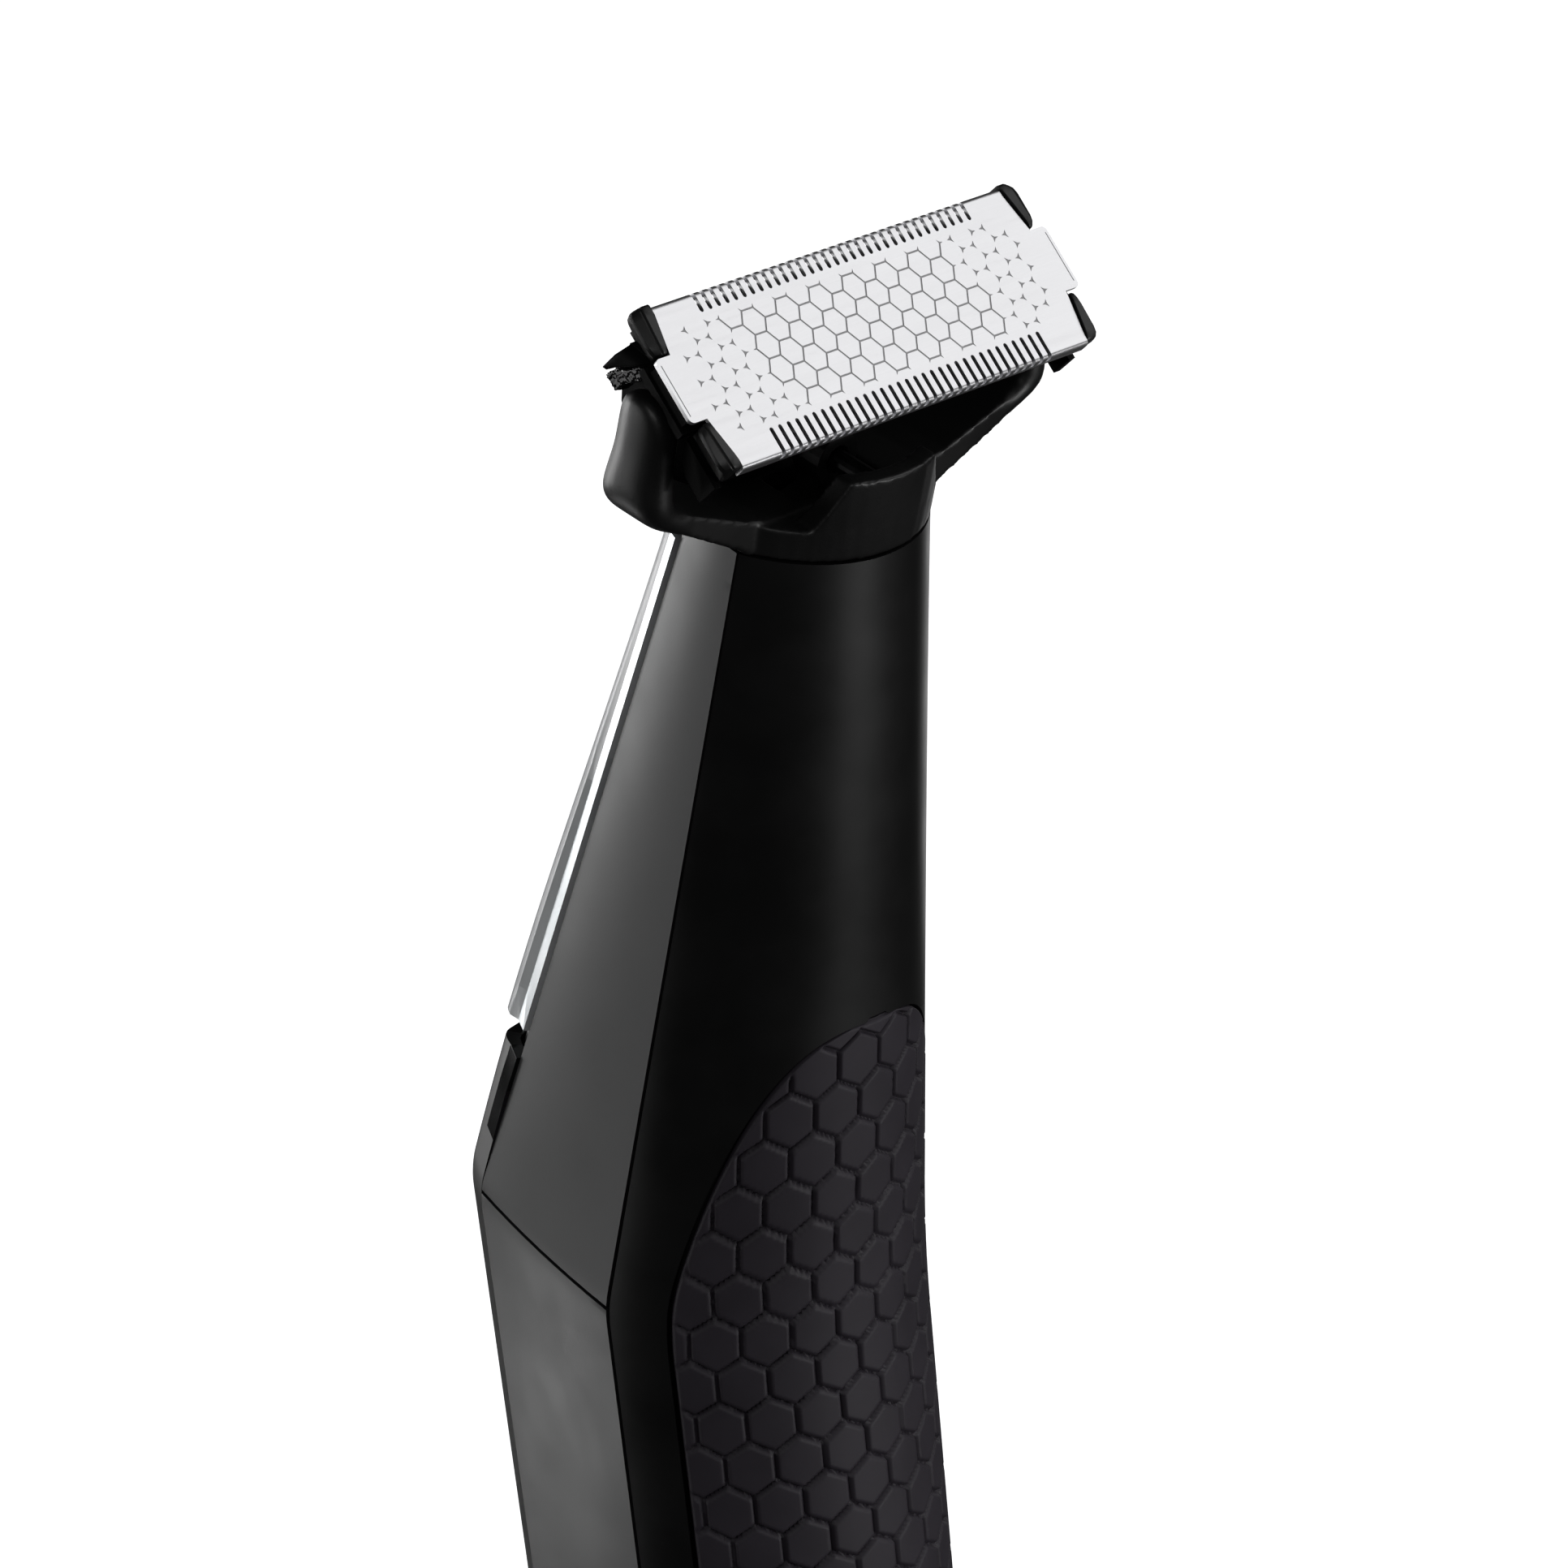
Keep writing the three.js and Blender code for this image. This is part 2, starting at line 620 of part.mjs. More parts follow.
function motorCan() {
  const bore = rod('z', MOTOR_RADIUS - 0.5, MOTOR_BOTTOM, MOTOR_TOP - 0.6, DRIVE_CENTRE, 24);
  const shaftHole = rod('z', 1.2, MOTOR_TOP - 2, MOTOR_TOP + 1, DRIVE_CENTRE, 16);
  const body = rod('z', MOTOR_RADIUS, MOTOR_BOTTOM + 2, MOTOR_TOP, DRIVE_CENTRE, 24);
  return cut(body, bore, shaftHole);
}

function motorEndCap() {
  const disc = washer(MOTOR_RADIUS, 1.2, MOTOR_BOTTOM, MOTOR_BOTTOM + 2 - GAP, 28);
  const terminals = [-3.4, 3.4].map((x) => block(x - 0.8, x + 0.8, DRIVE_Y - 0.2, DRIVE_Y + 0.2,
    MOTOR_BOTTOM - 2.4, MOTOR_BOTTOM + 0.5));
  return join(disc, ...terminals);
}

/** One of the two curved magnets inside the can. */
function motorMagnet(side) {
  const arc = new THREE.Shape();
  const middle = side > 0 ? 0 : Math.PI;
  const half = 60 * degrees;
  arc.absarc(0, DRIVE_Y, MOTOR_RADIUS - 0.8, middle - half, middle + half);
  arc.absarc(0, DRIVE_Y, MOTOR_RADIUS - 1.4, middle + half, middle - half, true);
  return drawOut(arc, 'xy', -32, -16, 8);
}

function motorMount() {
  const plate = washer(MOTOR_RADIUS - 0.4, 1.5, MOTOR_TOP + GAP, MOTOR_TOP + 1.8, 28);
  return cut(plate, ...[-4, 4].map((x) => rod('z', 1.1, -14, -8, [x, DRIVE_Y], 12)));
}

/** The screw's shank ends just above the can. */
function motorScrew(x) {
  const head = rod('z', 1.5, MOTOR_TOP + 2.1, MOTOR_TOP + 3, [x, DRIVE_Y], 12);
  return join(head, rod('z', 0.8, MOTOR_TOP + 0.6, MOTOR_TOP + 2.2, [x, DRIVE_Y], 10));
}

function motorLead(x) {
  const route = new THREE.CatmullRomCurve3([
    new THREE.Vector3(x, DRIVE_Y, MOTOR_BOTTOM - 2.8),
    new THREE.Vector3(x, DRIVE_Y - 2, MOTOR_BOTTOM - 6),
    new THREE.Vector3(x * 1.4, DRIVE_Y - 4, MOTOR_BOTTOM - 12),
    new THREE.Vector3(x * 1.5, DRIVE_Y - 2, MOTOR_BOTTOM - 19),
  ]);
  return wire(route, 0.5, 8, 6);
}

function rotorCore() {
  const drum = rod('z', 4.2, -32, -16, DRIVE_CENTRE, 24);
  return cut(drum, rod('z', 0.75 + GAP, -34, -14, DRIVE_CENTRE, 12));
}

/** The hub and its off-centre pin. At rest the pin stands to the back, so that the lever is centred. */
function driveEccentric() {
  const hub = rod('z', 2.2, -5, -3.4, DRIVE_CENTRE, 20);
  const pin = rod('z', 0.6, -3.5, -0.2, [0, DRIVE_Y + ECCENTRIC], 12);
  return cut(join(hub, pin), rod('z', 0.75 + GAP, -6, -4, DRIVE_CENTRE, 12));
}

function motorPieces() {
  return [
    named('neck_spigot', neckSpigot(), blackCase),
    named('shaft_seal', washer(1.9, 1.1, SPIGOT_BOTTOM, SPIGOT_BOTTOM + 1), blackRubber),
    named('motor_can', motorCan(), steel),
    named('motor_end_cap', motorEndCap(), leadBlack),
    named('motor_magnet_left', motorMagnet(1), magnetGrey),
    named('motor_magnet_right', motorMagnet(-1), magnetGrey),
    named('motor_mount', motorMount(), whitePlastic),
    named('motor_screw_left', motorScrew(4), steel),
    named('motor_screw_right', motorScrew(-4), steel),
    named('motor_lead_positive', motorLead(3.4), leadRed),
    named('motor_lead_negative', motorLead(-3.4), leadBlack),
    named('rotor_core', rotorCore(), copper),
    named('rotor_shaft', rod('z', 0.75, -37.5, -4.3, DRIVE_CENTRE, 12), steel),
    named('drive_eccentric', driveEccentric(), brass),
  ];
}

// ---------------------------------------------------------------- head, in the neck's frame

const LEVER_Z = 4.5;
const LEVER_FOOT = 5.25; // pivot down to the middle of the fork
const BALL_RADIUS = 1.2;
const ARM_TOP = PIVOT_Z + ARM_RADIUS;

/** The yoke's outline from behind: a V with two upright arms. */
function yokeFront() {
  const shape = new THREE.Shape();
  const corner = 2.9;
  shape.moveTo(-9, GAP);
  shape.lineTo(9, GAP);
  shape.lineTo(YOKE_HALF_SPAN - 1.9, 4.9);
  shape.quadraticCurveTo(YOKE_HALF_SPAN, 5.9, YOKE_HALF_SPAN, 5.1 + corner);
  shape.lineTo(YOKE_HALF_SPAN, ARM_TOP + 1);
  shape.lineTo(-YOKE_HALF_SPAN, ARM_TOP + 1);
  shape.lineTo(-YOKE_HALF_SPAN, 5.1 + corner);
  shape.quadraticCurveTo(-YOKE_HALF_SPAN, 5.9, -YOKE_HALF_SPAN + 1.9, 4.9);
  return shape;
}

/** The yoke from above: the ends are round and the front bulges in the middle. */
function yokePlan() {
  const shape = new THREE.Shape();
  const half = YOKE_HALF_SPAN;
  shape.moveTo(0, neckSection.frontY);
  shape.lineTo(neckSection.shoulderX, neckSection.shoulderY);
  shape.quadraticCurveTo(half - 6.2, -0.2, half - 2.2, 0.25);
  shape.quadraticCurveTo(half + 0.2, 1.2, half, 4);
  shape.lineTo(half - 0.7, RIM_Y);
  shape.lineTo(-half + 0.7, RIM_Y);
  shape.lineTo(-half, 4);
  shape.quadraticCurveTo(-half - 0.2, 1.2, -half + 2.2, 0.25);
  shape.quadraticCurveTo(-half + 6.2, -0.2, -neckSection.shoulderX, neckSection.shoulderY);
  return shape;
}

/** The yoke from the side: it narrows upwards to the arms, which end in a half round. */
function yokeSide() {
  const shape = new THREE.Shape();
  shape.moveTo(neckSection.frontY, 0);
  shape.lineTo(RIM_Y, 0);
  shape.lineTo(PIVOT_Y + ARM_RADIUS, PIVOT_Z);
  shape.absarc(PIVOT_Y, PIVOT_Z, ARM_RADIUS, 0, Math.PI);
  shape.lineTo(PIVOT_Y - ARM_RADIUS, 9.6);
  shape.lineTo(-2.2, 8.4);
  shape.lineTo(neckSection.frontY, 6);
  return shape;
}

/** The space between the arms, seen from behind. */
function yokeHollow() {
  return polygon([-8, 2.7], [8, 2.7], [10, 3.1], [ARM_INNER - 0.3, 5.9], [ARM_INNER, 6.5], [ARM_INNER, 16],
    [-ARM_INNER, 16], [-ARM_INNER, 6.5], [-ARM_INNER + 0.3, 5.9], [-10, 3.1]);
}

/** The raised tab behind the lever, with slanted shoulders. */
function backTab() {
  const front = polygon([-6.2, 1], [6.2, 1], [6.2, 2.4], [4.2, 6.4], [-4.2, 6.4], [-6.2, 2.4]);
  const ring = cut(rod('z', 10.8, 1, 7, [0, 0], 48), rod('z', 9.3, 0, 8, [0, 0], 48));
  return common(drawOut(front, 'xz', 4, 12), ring);
}

function headYoke() {
  const fork = common(
    drawOut(yokeFront(), 'xz', -6, 8), drawOut(yokePlan(), 'xy', -1, 16), drawOut(yokeSide(), 'yz', -21, 21));
  const collarHollow = cut(neckPlug(2.7, 6, 1.6), block(-12, 12, -8, -1.6, 0, 8));
  const collar = cut(neckPlug(GAP, 2.5, 0), collarHollow);
  const hollow = drawOut(yokeHollow(), 'xz', -1.6, 7);
  const leverHole = block(-4.2, 4.2, DRIVE_Y - 1.7, DRIVE_Y + 1.7, 0, 5);
  const socket = neckPlug(-1, SPIGOT_TOP + GAP, WALL);
  const pinHole = rod('y', 1.1, -2.7, 10.2, [0, LEVER_Z], 16);
  const pivotHoles = [-1, 1].map((side) => rod('x', 1.3, Math.min(side * 16, side * 19.3),
    Math.max(side * 16, side * 19.3), [PIVOT_Y, PIVOT_Z], 16));
  const shell = join(cut(fork, hollow), collar, backTab());
  return cut(shell, socket, leverHole, pinHole, ...pivotHoles);
}

/** The rocking lever: a fork round the eccentric pin, a hub on the lever pin and a ball at the top. */
function driveLever() {
  const foot = LEVER_Z - LEVER_FOOT;
  const plate = polygon(
    [-3, foot - 1.8], [-2, foot - 1.8], [-2, foot + 1.5], [2, foot + 1.5], [2, foot - 1.8], [3, foot - 1.8],
    [3, foot + 2.4], [1.3, foot + 2.8], [1.3, LEVER_Z], [0.9, PIVOT_Z], [-0.9, PIVOT_Z], [-1.3, LEVER_Z],
    [-1.3, foot + 2.8], [-3, foot + 2.4]);
  const blade = drawOut(plate, 'xz', DRIVE_Y - 1, DRIVE_Y + 1);
  const hub = rod('y', 2, DRIVE_Y - 1.2, DRIVE_Y + 1.2, [0, LEVER_Z], 20);
  const ball = new THREE.SphereGeometry(BALL_RADIUS, 16, 10).translate(0, PIVOT_Y, PIVOT_Z);
  return cut(join(blade, hub, ball), rod('y', 0.8 + GAP, 0, 8, [0, LEVER_Z], 16));
}

// ---------------------------------------------------------------- cartridge, in its own frame
// X runs along the foil, +Y towards the back edge and +Z out of the foil. The pivot axis is X.

const CHEEK_INNER = 15.5;
const BASE_HALF_LENGTH = 17;
const FRAME_INNER = 17.45;
const FRAME_OUTER = 19.4;
const FLANGE_DROP = 1;

function cartridgeBase() {
  const section = polygon([-5.4, 2], [-5.4, 0], [-3, -2.6], [3, -2.6], [5.4, 0], [5.4, 2]);
  const trough = polygon([-4, 3], [-4, 0.4], [-2.4, -1.8], [2.4, -1.8], [4, 0.4], [4, 3]);
  return cut(
    drawOut(section, 'yz', -BASE_HALF_LENGTH, BASE_HALF_LENGTH),
    drawOut(trough, 'yz', -CHEEK_INNER, CHEEK_INNER),
    block(-5, 5, -4.6, 4.6, -4, 1),
    rod('x', 1.1 + GAP, -20, 20, [0, 0], 16),
  );
}

/** A frame round the cutter. Its ends reach over the arms and have two ears round each arm's top. */
function upperFrame() {
  const rim = block(-FRAME_INNER - 0.2, FRAME_INNER + 0.2, -5.9, 5.9, 2 + GAP, 3.4);
  const opening = block(-16.2, 16.2, -5.2, 5.2, 0, 5);
  const end = new THREE.Shape();
  end.moveTo(-5.3, 2.4);
  end.lineTo(-4.75, 1.5);
  end.lineTo(-5, 0.2);
  end.lineTo(-4.5, -0.3);
  end.absarc(0, 0, ARM_RADIUS + 0.43, 185 * degrees, 20 * degrees, true);
  end.lineTo(4.4, 0.35);
  end.lineTo(6.3, 0.35);
  end.lineTo(6.3, 3.6);
  end.lineTo(-6.3, 3.6);
  end.lineTo(-6.3, 2.4);
  const ends = [-1, 1].map((side) => {
    const from = side > 0 ? FRAME_INNER : -FRAME_OUTER;
    const plate = drawOut(end, 'yz', from, from + FRAME_OUTER - FRAME_INNER, 6);
    const seat = block(Math.min(side * 16.2, side * 19.3), Math.max(side * 16.2, side * 19.2), -2.4, 1.9, 3.3,
      FOIL_TOP - FOIL_THICKNESS - GAP);
    const clipSeats = [[-7, -2.9], [2.4, 7]].map(([y0, y1]) => block(
      Math.min(side * 17, side * 21), Math.max(side * 17, side * 21), y0, y1, 2.3, 4));
    return join(cut(plate, ...clipSeats), seat);
  });
  return join(cut(rim, opening), ...ends);
}

/** The foil: a thin plate with bent-down long edges, a tab at each end and slots along both edges. */
function foilPlate() {
  const top = block(-FOIL_HALF_LENGTH, FOIL_HALF_LENGTH, -FOIL_HALF_WIDTH, FOIL_HALF_WIDTH,
    FOIL_TOP - FOIL_THICKNESS, FOIL_TOP);
  const tabs = block(-19.45, 19.45, -2.6, 2.1, FOIL_TOP - FOIL_THICKNESS, FOIL_TOP);
  const flanges = [-1, 1].map((side) => block(-FOIL_HALF_LENGTH, FOIL_HALF_LENGTH,
    side > 0 ? FOIL_HALF_WIDTH - FOIL_THICKNESS : -FOIL_HALF_WIDTH,
    side > 0 ? FOIL_HALF_WIDTH : -FOIL_HALF_WIDTH + FOIL_THICKNESS,
    FOIL_TOP - FLANGE_DROP, FOIL_TOP - 0.1));
  const slots = [];
  for (let k = 0; k < SLOTS_PER_SIDE; k += 1) {
    const x = (k - (SLOTS_PER_SIDE - 1) / 2) * SLOT_PITCH;
    slots.push(block(x - 0.18, x + 0.18, -FOIL_HALF_WIDTH - 1, -4.85, FOIL_TOP - 0.5, FOIL_TOP + 1));
    slots.push(block(x - 0.18, x + 0.18, 4.3, FOIL_HALF_WIDTH - 0.4, FOIL_TOP - 0.5, FOIL_TOP + 1));
  }
  return cut(join(top, tabs, ...flanges), ...slots);
}

/** A bevelled clip on one corner of the foil. */
function cornerClip(sideX, sideY) {
  const inner = FOIL_HALF_LENGTH + GAP;
  const plan = polygon(
    [sideX * inner, sideY * 6.6], [sideX * 18.9, sideY * 6.6], [sideX * 19.3, sideY * 6.1],
    [sideX * 19.3, sideY * 3.2], [sideX * 19, sideY * 2.9], [sideX * (inner + 0.9), sideY * 2.9]);
  const body = drawOut(plan, 'xy', 2.6, FOIL_TOP + 0.15);
  const side = polygon(
    [sideX * 17, 2.6], [sideX * 19.3, 2.6], [sideX * 19.1, 4.2], [sideX * 18.7, FOIL_TOP + 0.15],
    [sideX * 17, FOIL_TOP + 0.15]);
  return common(body, drawOut(side, 'xz', -8, 8));
}

/** The cutter's plastic body, with two lugs that straddle the lever's ball. */
function cutterCarrier() {
  const body = block(-14.5, 14.5, -4.6, 4.6, 2.4, 3.4);
  const lugs = [-1, 1].map((side) => block(
    Math.min(side * (BALL_RADIUS + GAP), side * 3), Math.max(side * (BALL_RADIUS + GAP), side * 3),
    -2.2, 2.2, -1.2, 2.5));
  return join(body, ...lugs);
}

function cutterBlade() {
  const plate = block(-14.5, 14.5, -4.4, 3.9, 3.4 + GAP, 4.25);
  const teeth = [];
  const pitch = 1.8;
  for (let k = -8; k <= 8; k += 1) {
    const x = k * pitch;
    teeth.push(block(x - 0.4, x + 0.4, -5.8, 5.8, 3.4 + GAP, 4.25));
  }
  return join(plate, ...teeth);
}

function liftSpring() {
  return wire(new Helix(1.3, 3.4, 3.5), 0.2, 30, 6);
}

function centringSpring() {
  return wire(new Helix(1.5, 1.1, 2.5), 0.15, 22, 6);
}

function cartridgePieces() {
  const pieces = [
    named('cartridge_base', cartridgeBase(), blackCase),
    named('upper_frame', upperFrame(), blackCase),
    named('foil_plate', foilPlate(), foilSteel),
  ];
  const corners = { front_left: [1, -1], front_right: [-1, -1], back_left: [1, 1], back_right: [-1, 1] };
  for (const [place, [sideX, sideY]] of Object.entries(corners)) {
    pieces.push(named(`corner_clip_${place}`, cornerClip(sideX, sideY), blackCase));
  }
  for (const [place, side] of [['left', 1], ['right', -1]]) {
    const pinEnds = side > 0 ? [15.7, 19] : [-19, -15.7];
    const lift = named(`lift_spring_${place}`, liftSpring(), steel);
    lift.position.set(side * 9.5, 0, 0.3);
    const centring = named(`centring_spring_${place}`, centringSpring(), steel);
    centring.rotation.y = Math.PI / 2;
    centring.position.set(side * 14.4, 0, 0);
    pieces.push(named(`pivot_pin_${place}`, rod('x', 1, ...pinEnds, [0, 0], 16), steel), lift, centring);
  }
  pieces.push(
    named('cutter_carrier', cutterCarrier(), whitePlastic),
    named('cutter_blade', cutterBlade(), steel));
  return pieces;
}

// ---------------------------------------------------------------- assembly

const shaver = new THREE.Group();
shaver.add(...handlePieces(), ...electricPieces());
shaver.add(named('power_button', powerButton(), glossBlack));
shaver.add(named('button_membrane', buttonMembrane(), blackRubber));

neckGroup.add(
  ...motorPieces(),
  named('head_yoke', headYoke(), blackCase),
  named('lever_pin', rod('y', 0.8, -2.4, 9.9, [0, LEVER_Z], 16), steel),
  named('drive_lever', driveLever(), whitePlastic),
);

const cartridgeGroup = new THREE.Group();
cartridgeGroup.position.set(0, PIVOT_Y, PIVOT_Z);
cartridgeGroup.rotation.x = -CARTRIDGE_TILT;
cartridgeGroup.add(...cartridgePieces());
neckGroup.add(cartridgeGroup);
shaver.add(neckGroup);

export default shaver;
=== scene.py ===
import json
import math

import bmesh
import bpy
import numpy as np
from mathutils import Matrix, Vector


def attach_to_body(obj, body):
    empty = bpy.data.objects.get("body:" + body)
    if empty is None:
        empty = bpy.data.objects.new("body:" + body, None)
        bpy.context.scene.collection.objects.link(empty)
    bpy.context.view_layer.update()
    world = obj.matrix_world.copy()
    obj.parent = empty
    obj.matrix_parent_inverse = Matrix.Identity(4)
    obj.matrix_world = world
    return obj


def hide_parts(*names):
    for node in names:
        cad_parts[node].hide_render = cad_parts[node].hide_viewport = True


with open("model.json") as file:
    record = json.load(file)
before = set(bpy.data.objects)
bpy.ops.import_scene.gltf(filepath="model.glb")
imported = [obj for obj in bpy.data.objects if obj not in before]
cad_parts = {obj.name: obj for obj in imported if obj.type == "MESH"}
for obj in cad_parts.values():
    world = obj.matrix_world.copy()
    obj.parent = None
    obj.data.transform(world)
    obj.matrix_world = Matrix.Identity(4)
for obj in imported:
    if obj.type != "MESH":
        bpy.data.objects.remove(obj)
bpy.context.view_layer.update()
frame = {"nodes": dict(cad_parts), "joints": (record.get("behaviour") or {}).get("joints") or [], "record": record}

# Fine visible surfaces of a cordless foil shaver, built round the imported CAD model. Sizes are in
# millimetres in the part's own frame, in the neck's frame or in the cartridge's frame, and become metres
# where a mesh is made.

MM = 0.001

# ---- frames


class LocalFrame:
    """An origin and three axes, in millimetres in the part's frame."""

    def __init__(self, origin, x, y, z):
        self.origin = np.array(origin, float)
        self.axes = np.array([x, y, z], float)

    def out(self, points):
        """Local points as points of the part."""
        return self.origin + np.asarray(points, float) @ self.axes

    def into(self, points):
        """Points of the part as local points."""
        return (np.asarray(points, float) - self.origin) @ self.axes.T


joints = {joint["name"]: joint for joint in frame["joints"]}
PIVOT_Y = 3
PIVOT_Z = 11.5
CARTRIDGE_TILT = math.radians(34)

neck_z = np.array(joints["head_release"]["axis"], float)
neck_z /= np.linalg.norm(neck_z)
neck_x = np.array([1.0, 0, 0])
neck_y = np.cross(neck_z, neck_x)
pivot = np.array(joints["cartridge_tilt"]["pos_m"]) / MM
part_frame = LocalFrame([0, 0, 0], [1, 0, 0], [0, 1, 0], [0, 0, 1])
neck_frame = LocalFrame(pivot - PIVOT_Y * neck_y - PIVOT_Z * neck_z, neck_x, neck_y, neck_z)
cartridge_frame = LocalFrame(
    pivot,
    neck_x,
    neck_y * math.cos(CARTRIDGE_TILT) - neck_z * math.sin(CARTRIDGE_TILT),
    neck_y * math.sin(CARTRIDGE_TILT) + neck_z * math.cos(CARTRIDGE_TILT),
)

# ---- materials


def texture_place(nodes, links, stretch):
    """Object coordinates, squeezed along each axis."""
    place = nodes.new("ShaderNodeTexCoord")
    mapping = nodes.new("ShaderNodeMapping")
    mapping.inputs["Scale"].default_value = stretch
    links.new(place.outputs["Object"], mapping.inputs["Vector"])
    return mapping.outputs["Vector"]


def noise(nodes, links, place, scale, detail=3.0):
    """A wandering number between 0 and 1."""
    texture = nodes.new("ShaderNodeTexNoise")
    texture.inputs["Scale"].default_value = scale
    texture.inputs["Detail"].default_value = detail
    links.new(place, texture.inputs["Vector"])
    return texture.outputs["Fac"]


def ramp(nodes, links, factor, dark, light):
    """A colour between two, by a factor."""
    colours = nodes.new("ShaderNodeValToRGB")
    elements = colours.color_ramp.elements
    for k, position, colour in ((0, 0.35, dark), (1, 0.65, light)):
        elements[k].position = position
        elements[k].color = (*colour, 1)
    links.new(factor, colours.inputs["Fac"])
    return colours.outputs["Color"]


def spread(nodes, links, factor, low, high):
    """A number between two, by a factor."""
    between = nodes.new("ShaderNodeMapRange")
    for key, value in (("From Min", 0.3), ("From Max", 0.7), ("To Min", low), ("To Max", high)):
        between.inputs[key].default_value = value
    links.new(factor, between.inputs["Value"])
    return between.outputs["Result"]


ROUGHNESS_WANDER = 0.03
finishes = {}


def surface(name, dark, light, roughness, metallic=0.0, mottle=180.0, grain=5000.0, depth=0.004,
            stretch=(1, 1, 1), **uniform):
    """Adds a finish: colour and roughness wander a little, and its grain is a fine bump, depth in mm."""
    finish = bpy.data.materials.new(name)
    finish.use_nodes = True
    nodes = finish.node_tree.nodes
    links = finish.node_tree.links
    shader = nodes["Principled BSDF"]
    place = texture_place(nodes, links, stretch)
    wander = noise(nodes, links, place, mottle)
    fine = noise(nodes, links, place, grain, 2.0)
    links.new(ramp(nodes, links, wander, dark, light), shader.inputs["Base Color"])
    rough = spread(nodes, links, wander, roughness - ROUGHNESS_WANDER, roughness + ROUGHNESS_WANDER)
    links.new(rough, shader.inputs["Roughness"])
    bump = nodes.new("ShaderNodeBump")
    bump.inputs["Strength"].default_value = 1.0
    bump.inputs["Distance"].default_value = depth * MM
    links.new(fine, bump.inputs["Height"])
    links.new(bump.outputs["Normal"], shader.inputs["Normal"])
    shader.inputs["Metallic"].default_value = metallic
    for key, value in uniform.items():
        shader.inputs[key.replace("_", " ")].default_value = value
    finishes[name] = finish


def grey(value):
    return (value, value, value * 1.02)


surface("black_case", grey(0.0035), grey(0.005), 0.36, depth=0.0012)
surface("grey_case", grey(0.011), grey(0.014), 0.42, grain=7000, depth=0.0035)
surface("yoke_black", grey(0.005), grey(0.008), 0.42, grain=6500, depth=0.006)
# The frame's finish is darker and less glossy than the other black plastics: painted shade for the shadowed gap
# between the yoke's arms and the cartridge.
surface("frame_painted_shade", grey(0.0015), grey(0.0025), 0.55, grain=6500, depth=0.006, Specular_IOR_Level=0.08)
surface("dark_steel", grey(0.05), grey(0.08), 0.4, metallic=1.0, mottle=700, depth=0.002)
surface("black_rubber", (0.026, 0.022, 0.029), (0.033, 0.028, 0.037), 0.6, grain=9000, depth=0.002,
        Specular_IOR_Level=0.4)
surface("bright_plate", (0.72, 0.76, 0.78), (0.8, 0.83, 0.85), 0.24, metallic=0.35, depth=0.0008)
surface("grey_trim", (0.55, 0.57, 0.58), (0.62, 0.64, 0.65), 0.3, depth=0.0008)
surface("gloss_black", grey(0.004), grey(0.006), 0.12, depth=0.0003)
surface("foil_steel", grey(0.78), grey(0.83), 0.36, metallic=1.0, mottle=2600, grain=7000, depth=0.003,
        stretch=(0.04, 1, 1))
surface("foil_etch", grey(0.42), grey(0.5), 0.6, metallic=0.8, mottle=900, grain=9000, depth=0.003)
surface("steel", grey(0.42), grey(0.55), 0.3, metallic=1.0, mottle=700, depth=0.002)
surface("white_plastic", (0.62, 0.61, 0.57), (0.7, 0.69, 0.65), 0.45)
surface("brass", (0.5, 0.36, 0.13), (0.62, 0.47, 0.2), 0.3, metallic=1.0, mottle=500)
surface("copper", (0.36, 0.13, 0.05), (0.5, 0.2, 0.09), 0.32, metallic=0.8, stretch=(1, 1, 0.1), grain=4000,
        depth=0.03)
surface("board_green", (0.01, 0.07, 0.025), (0.02, 0.12, 0.045), 0.3, mottle=900)
surface("magnet_grey", grey(0.035), grey(0.055), 0.55, metallic=0.4, grain=3000, depth=0.01)
surface("cell_wrap", (0.02, 0.08, 0.2), (0.03, 0.11, 0.27), 0.25, mottle=90)
surface("lead_red", (0.24, 0.012, 0.01), (0.3, 0.02, 0.016), 0.4)
surface("lead_black", grey(0.006), grey(0.01), 0.4)
surface("clear_lens", (0.66, 0.7, 0.72), (0.74, 0.78, 0.8), 0.15, depth=0.0005)

# ---- meshes

SHARP = math.radians(32)


def in_scene(name, data):
    """A new object in the scene."""
    thing = bpy.data.objects.new(name, data)
    bpy.context.scene.collection.objects.link(thing)
    return thing


def paint(piece, *names):
    """Gives a piece these finishes in place of its own."""
    piece.data.materials.clear()
    for name in names:
        piece.data.materials.append(finishes[name])


def build(name, points, faces, finish, local=part_frame, sharp=SHARP):
    """A mesh object from local points in millimetres, its faces turned outwards."""
    mesh = bpy.data.meshes.new(name)
    mesh.from_pydata((local.out(points) * MM).tolist(), [], faces)
    shape = bmesh.new()
    shape.from_mesh(mesh)
    bmesh.ops.remove_doubles(shape, verts=shape.verts, dist=0.002 * MM)
    bmesh.ops.recalc_face_normals(shape, faces=shape.faces)
    if shape.calc_volume(signed=True) < 0:
        bmesh.ops.reverse_faces(shape, faces=shape.faces)
    shape.to_mesh(mesh)
    shape.free()
    piece = in_scene(name, mesh)
    paint(piece, finish)
    soften(piece, sharp)
    return piece


def soften(piece, sharp=SHARP):
    """Smooth shading, broken where faces meet at more than an angle."""
    mesh = piece.data
    mesh.shade_smooth()
    mesh.set_sharp_from_angle(angle=sharp)


def settle(piece):
    """Applies a piece's modifiers to its mesh."""
    bpy.context.view_layer.update()
    graph = bpy.context.evaluated_depsgraph_get()
    done = bpy.data.meshes.new_from_object(piece.evaluated_get(graph))
    done.name = piece.name
    piece.modifiers.clear()
    piece.data = done
    return piece


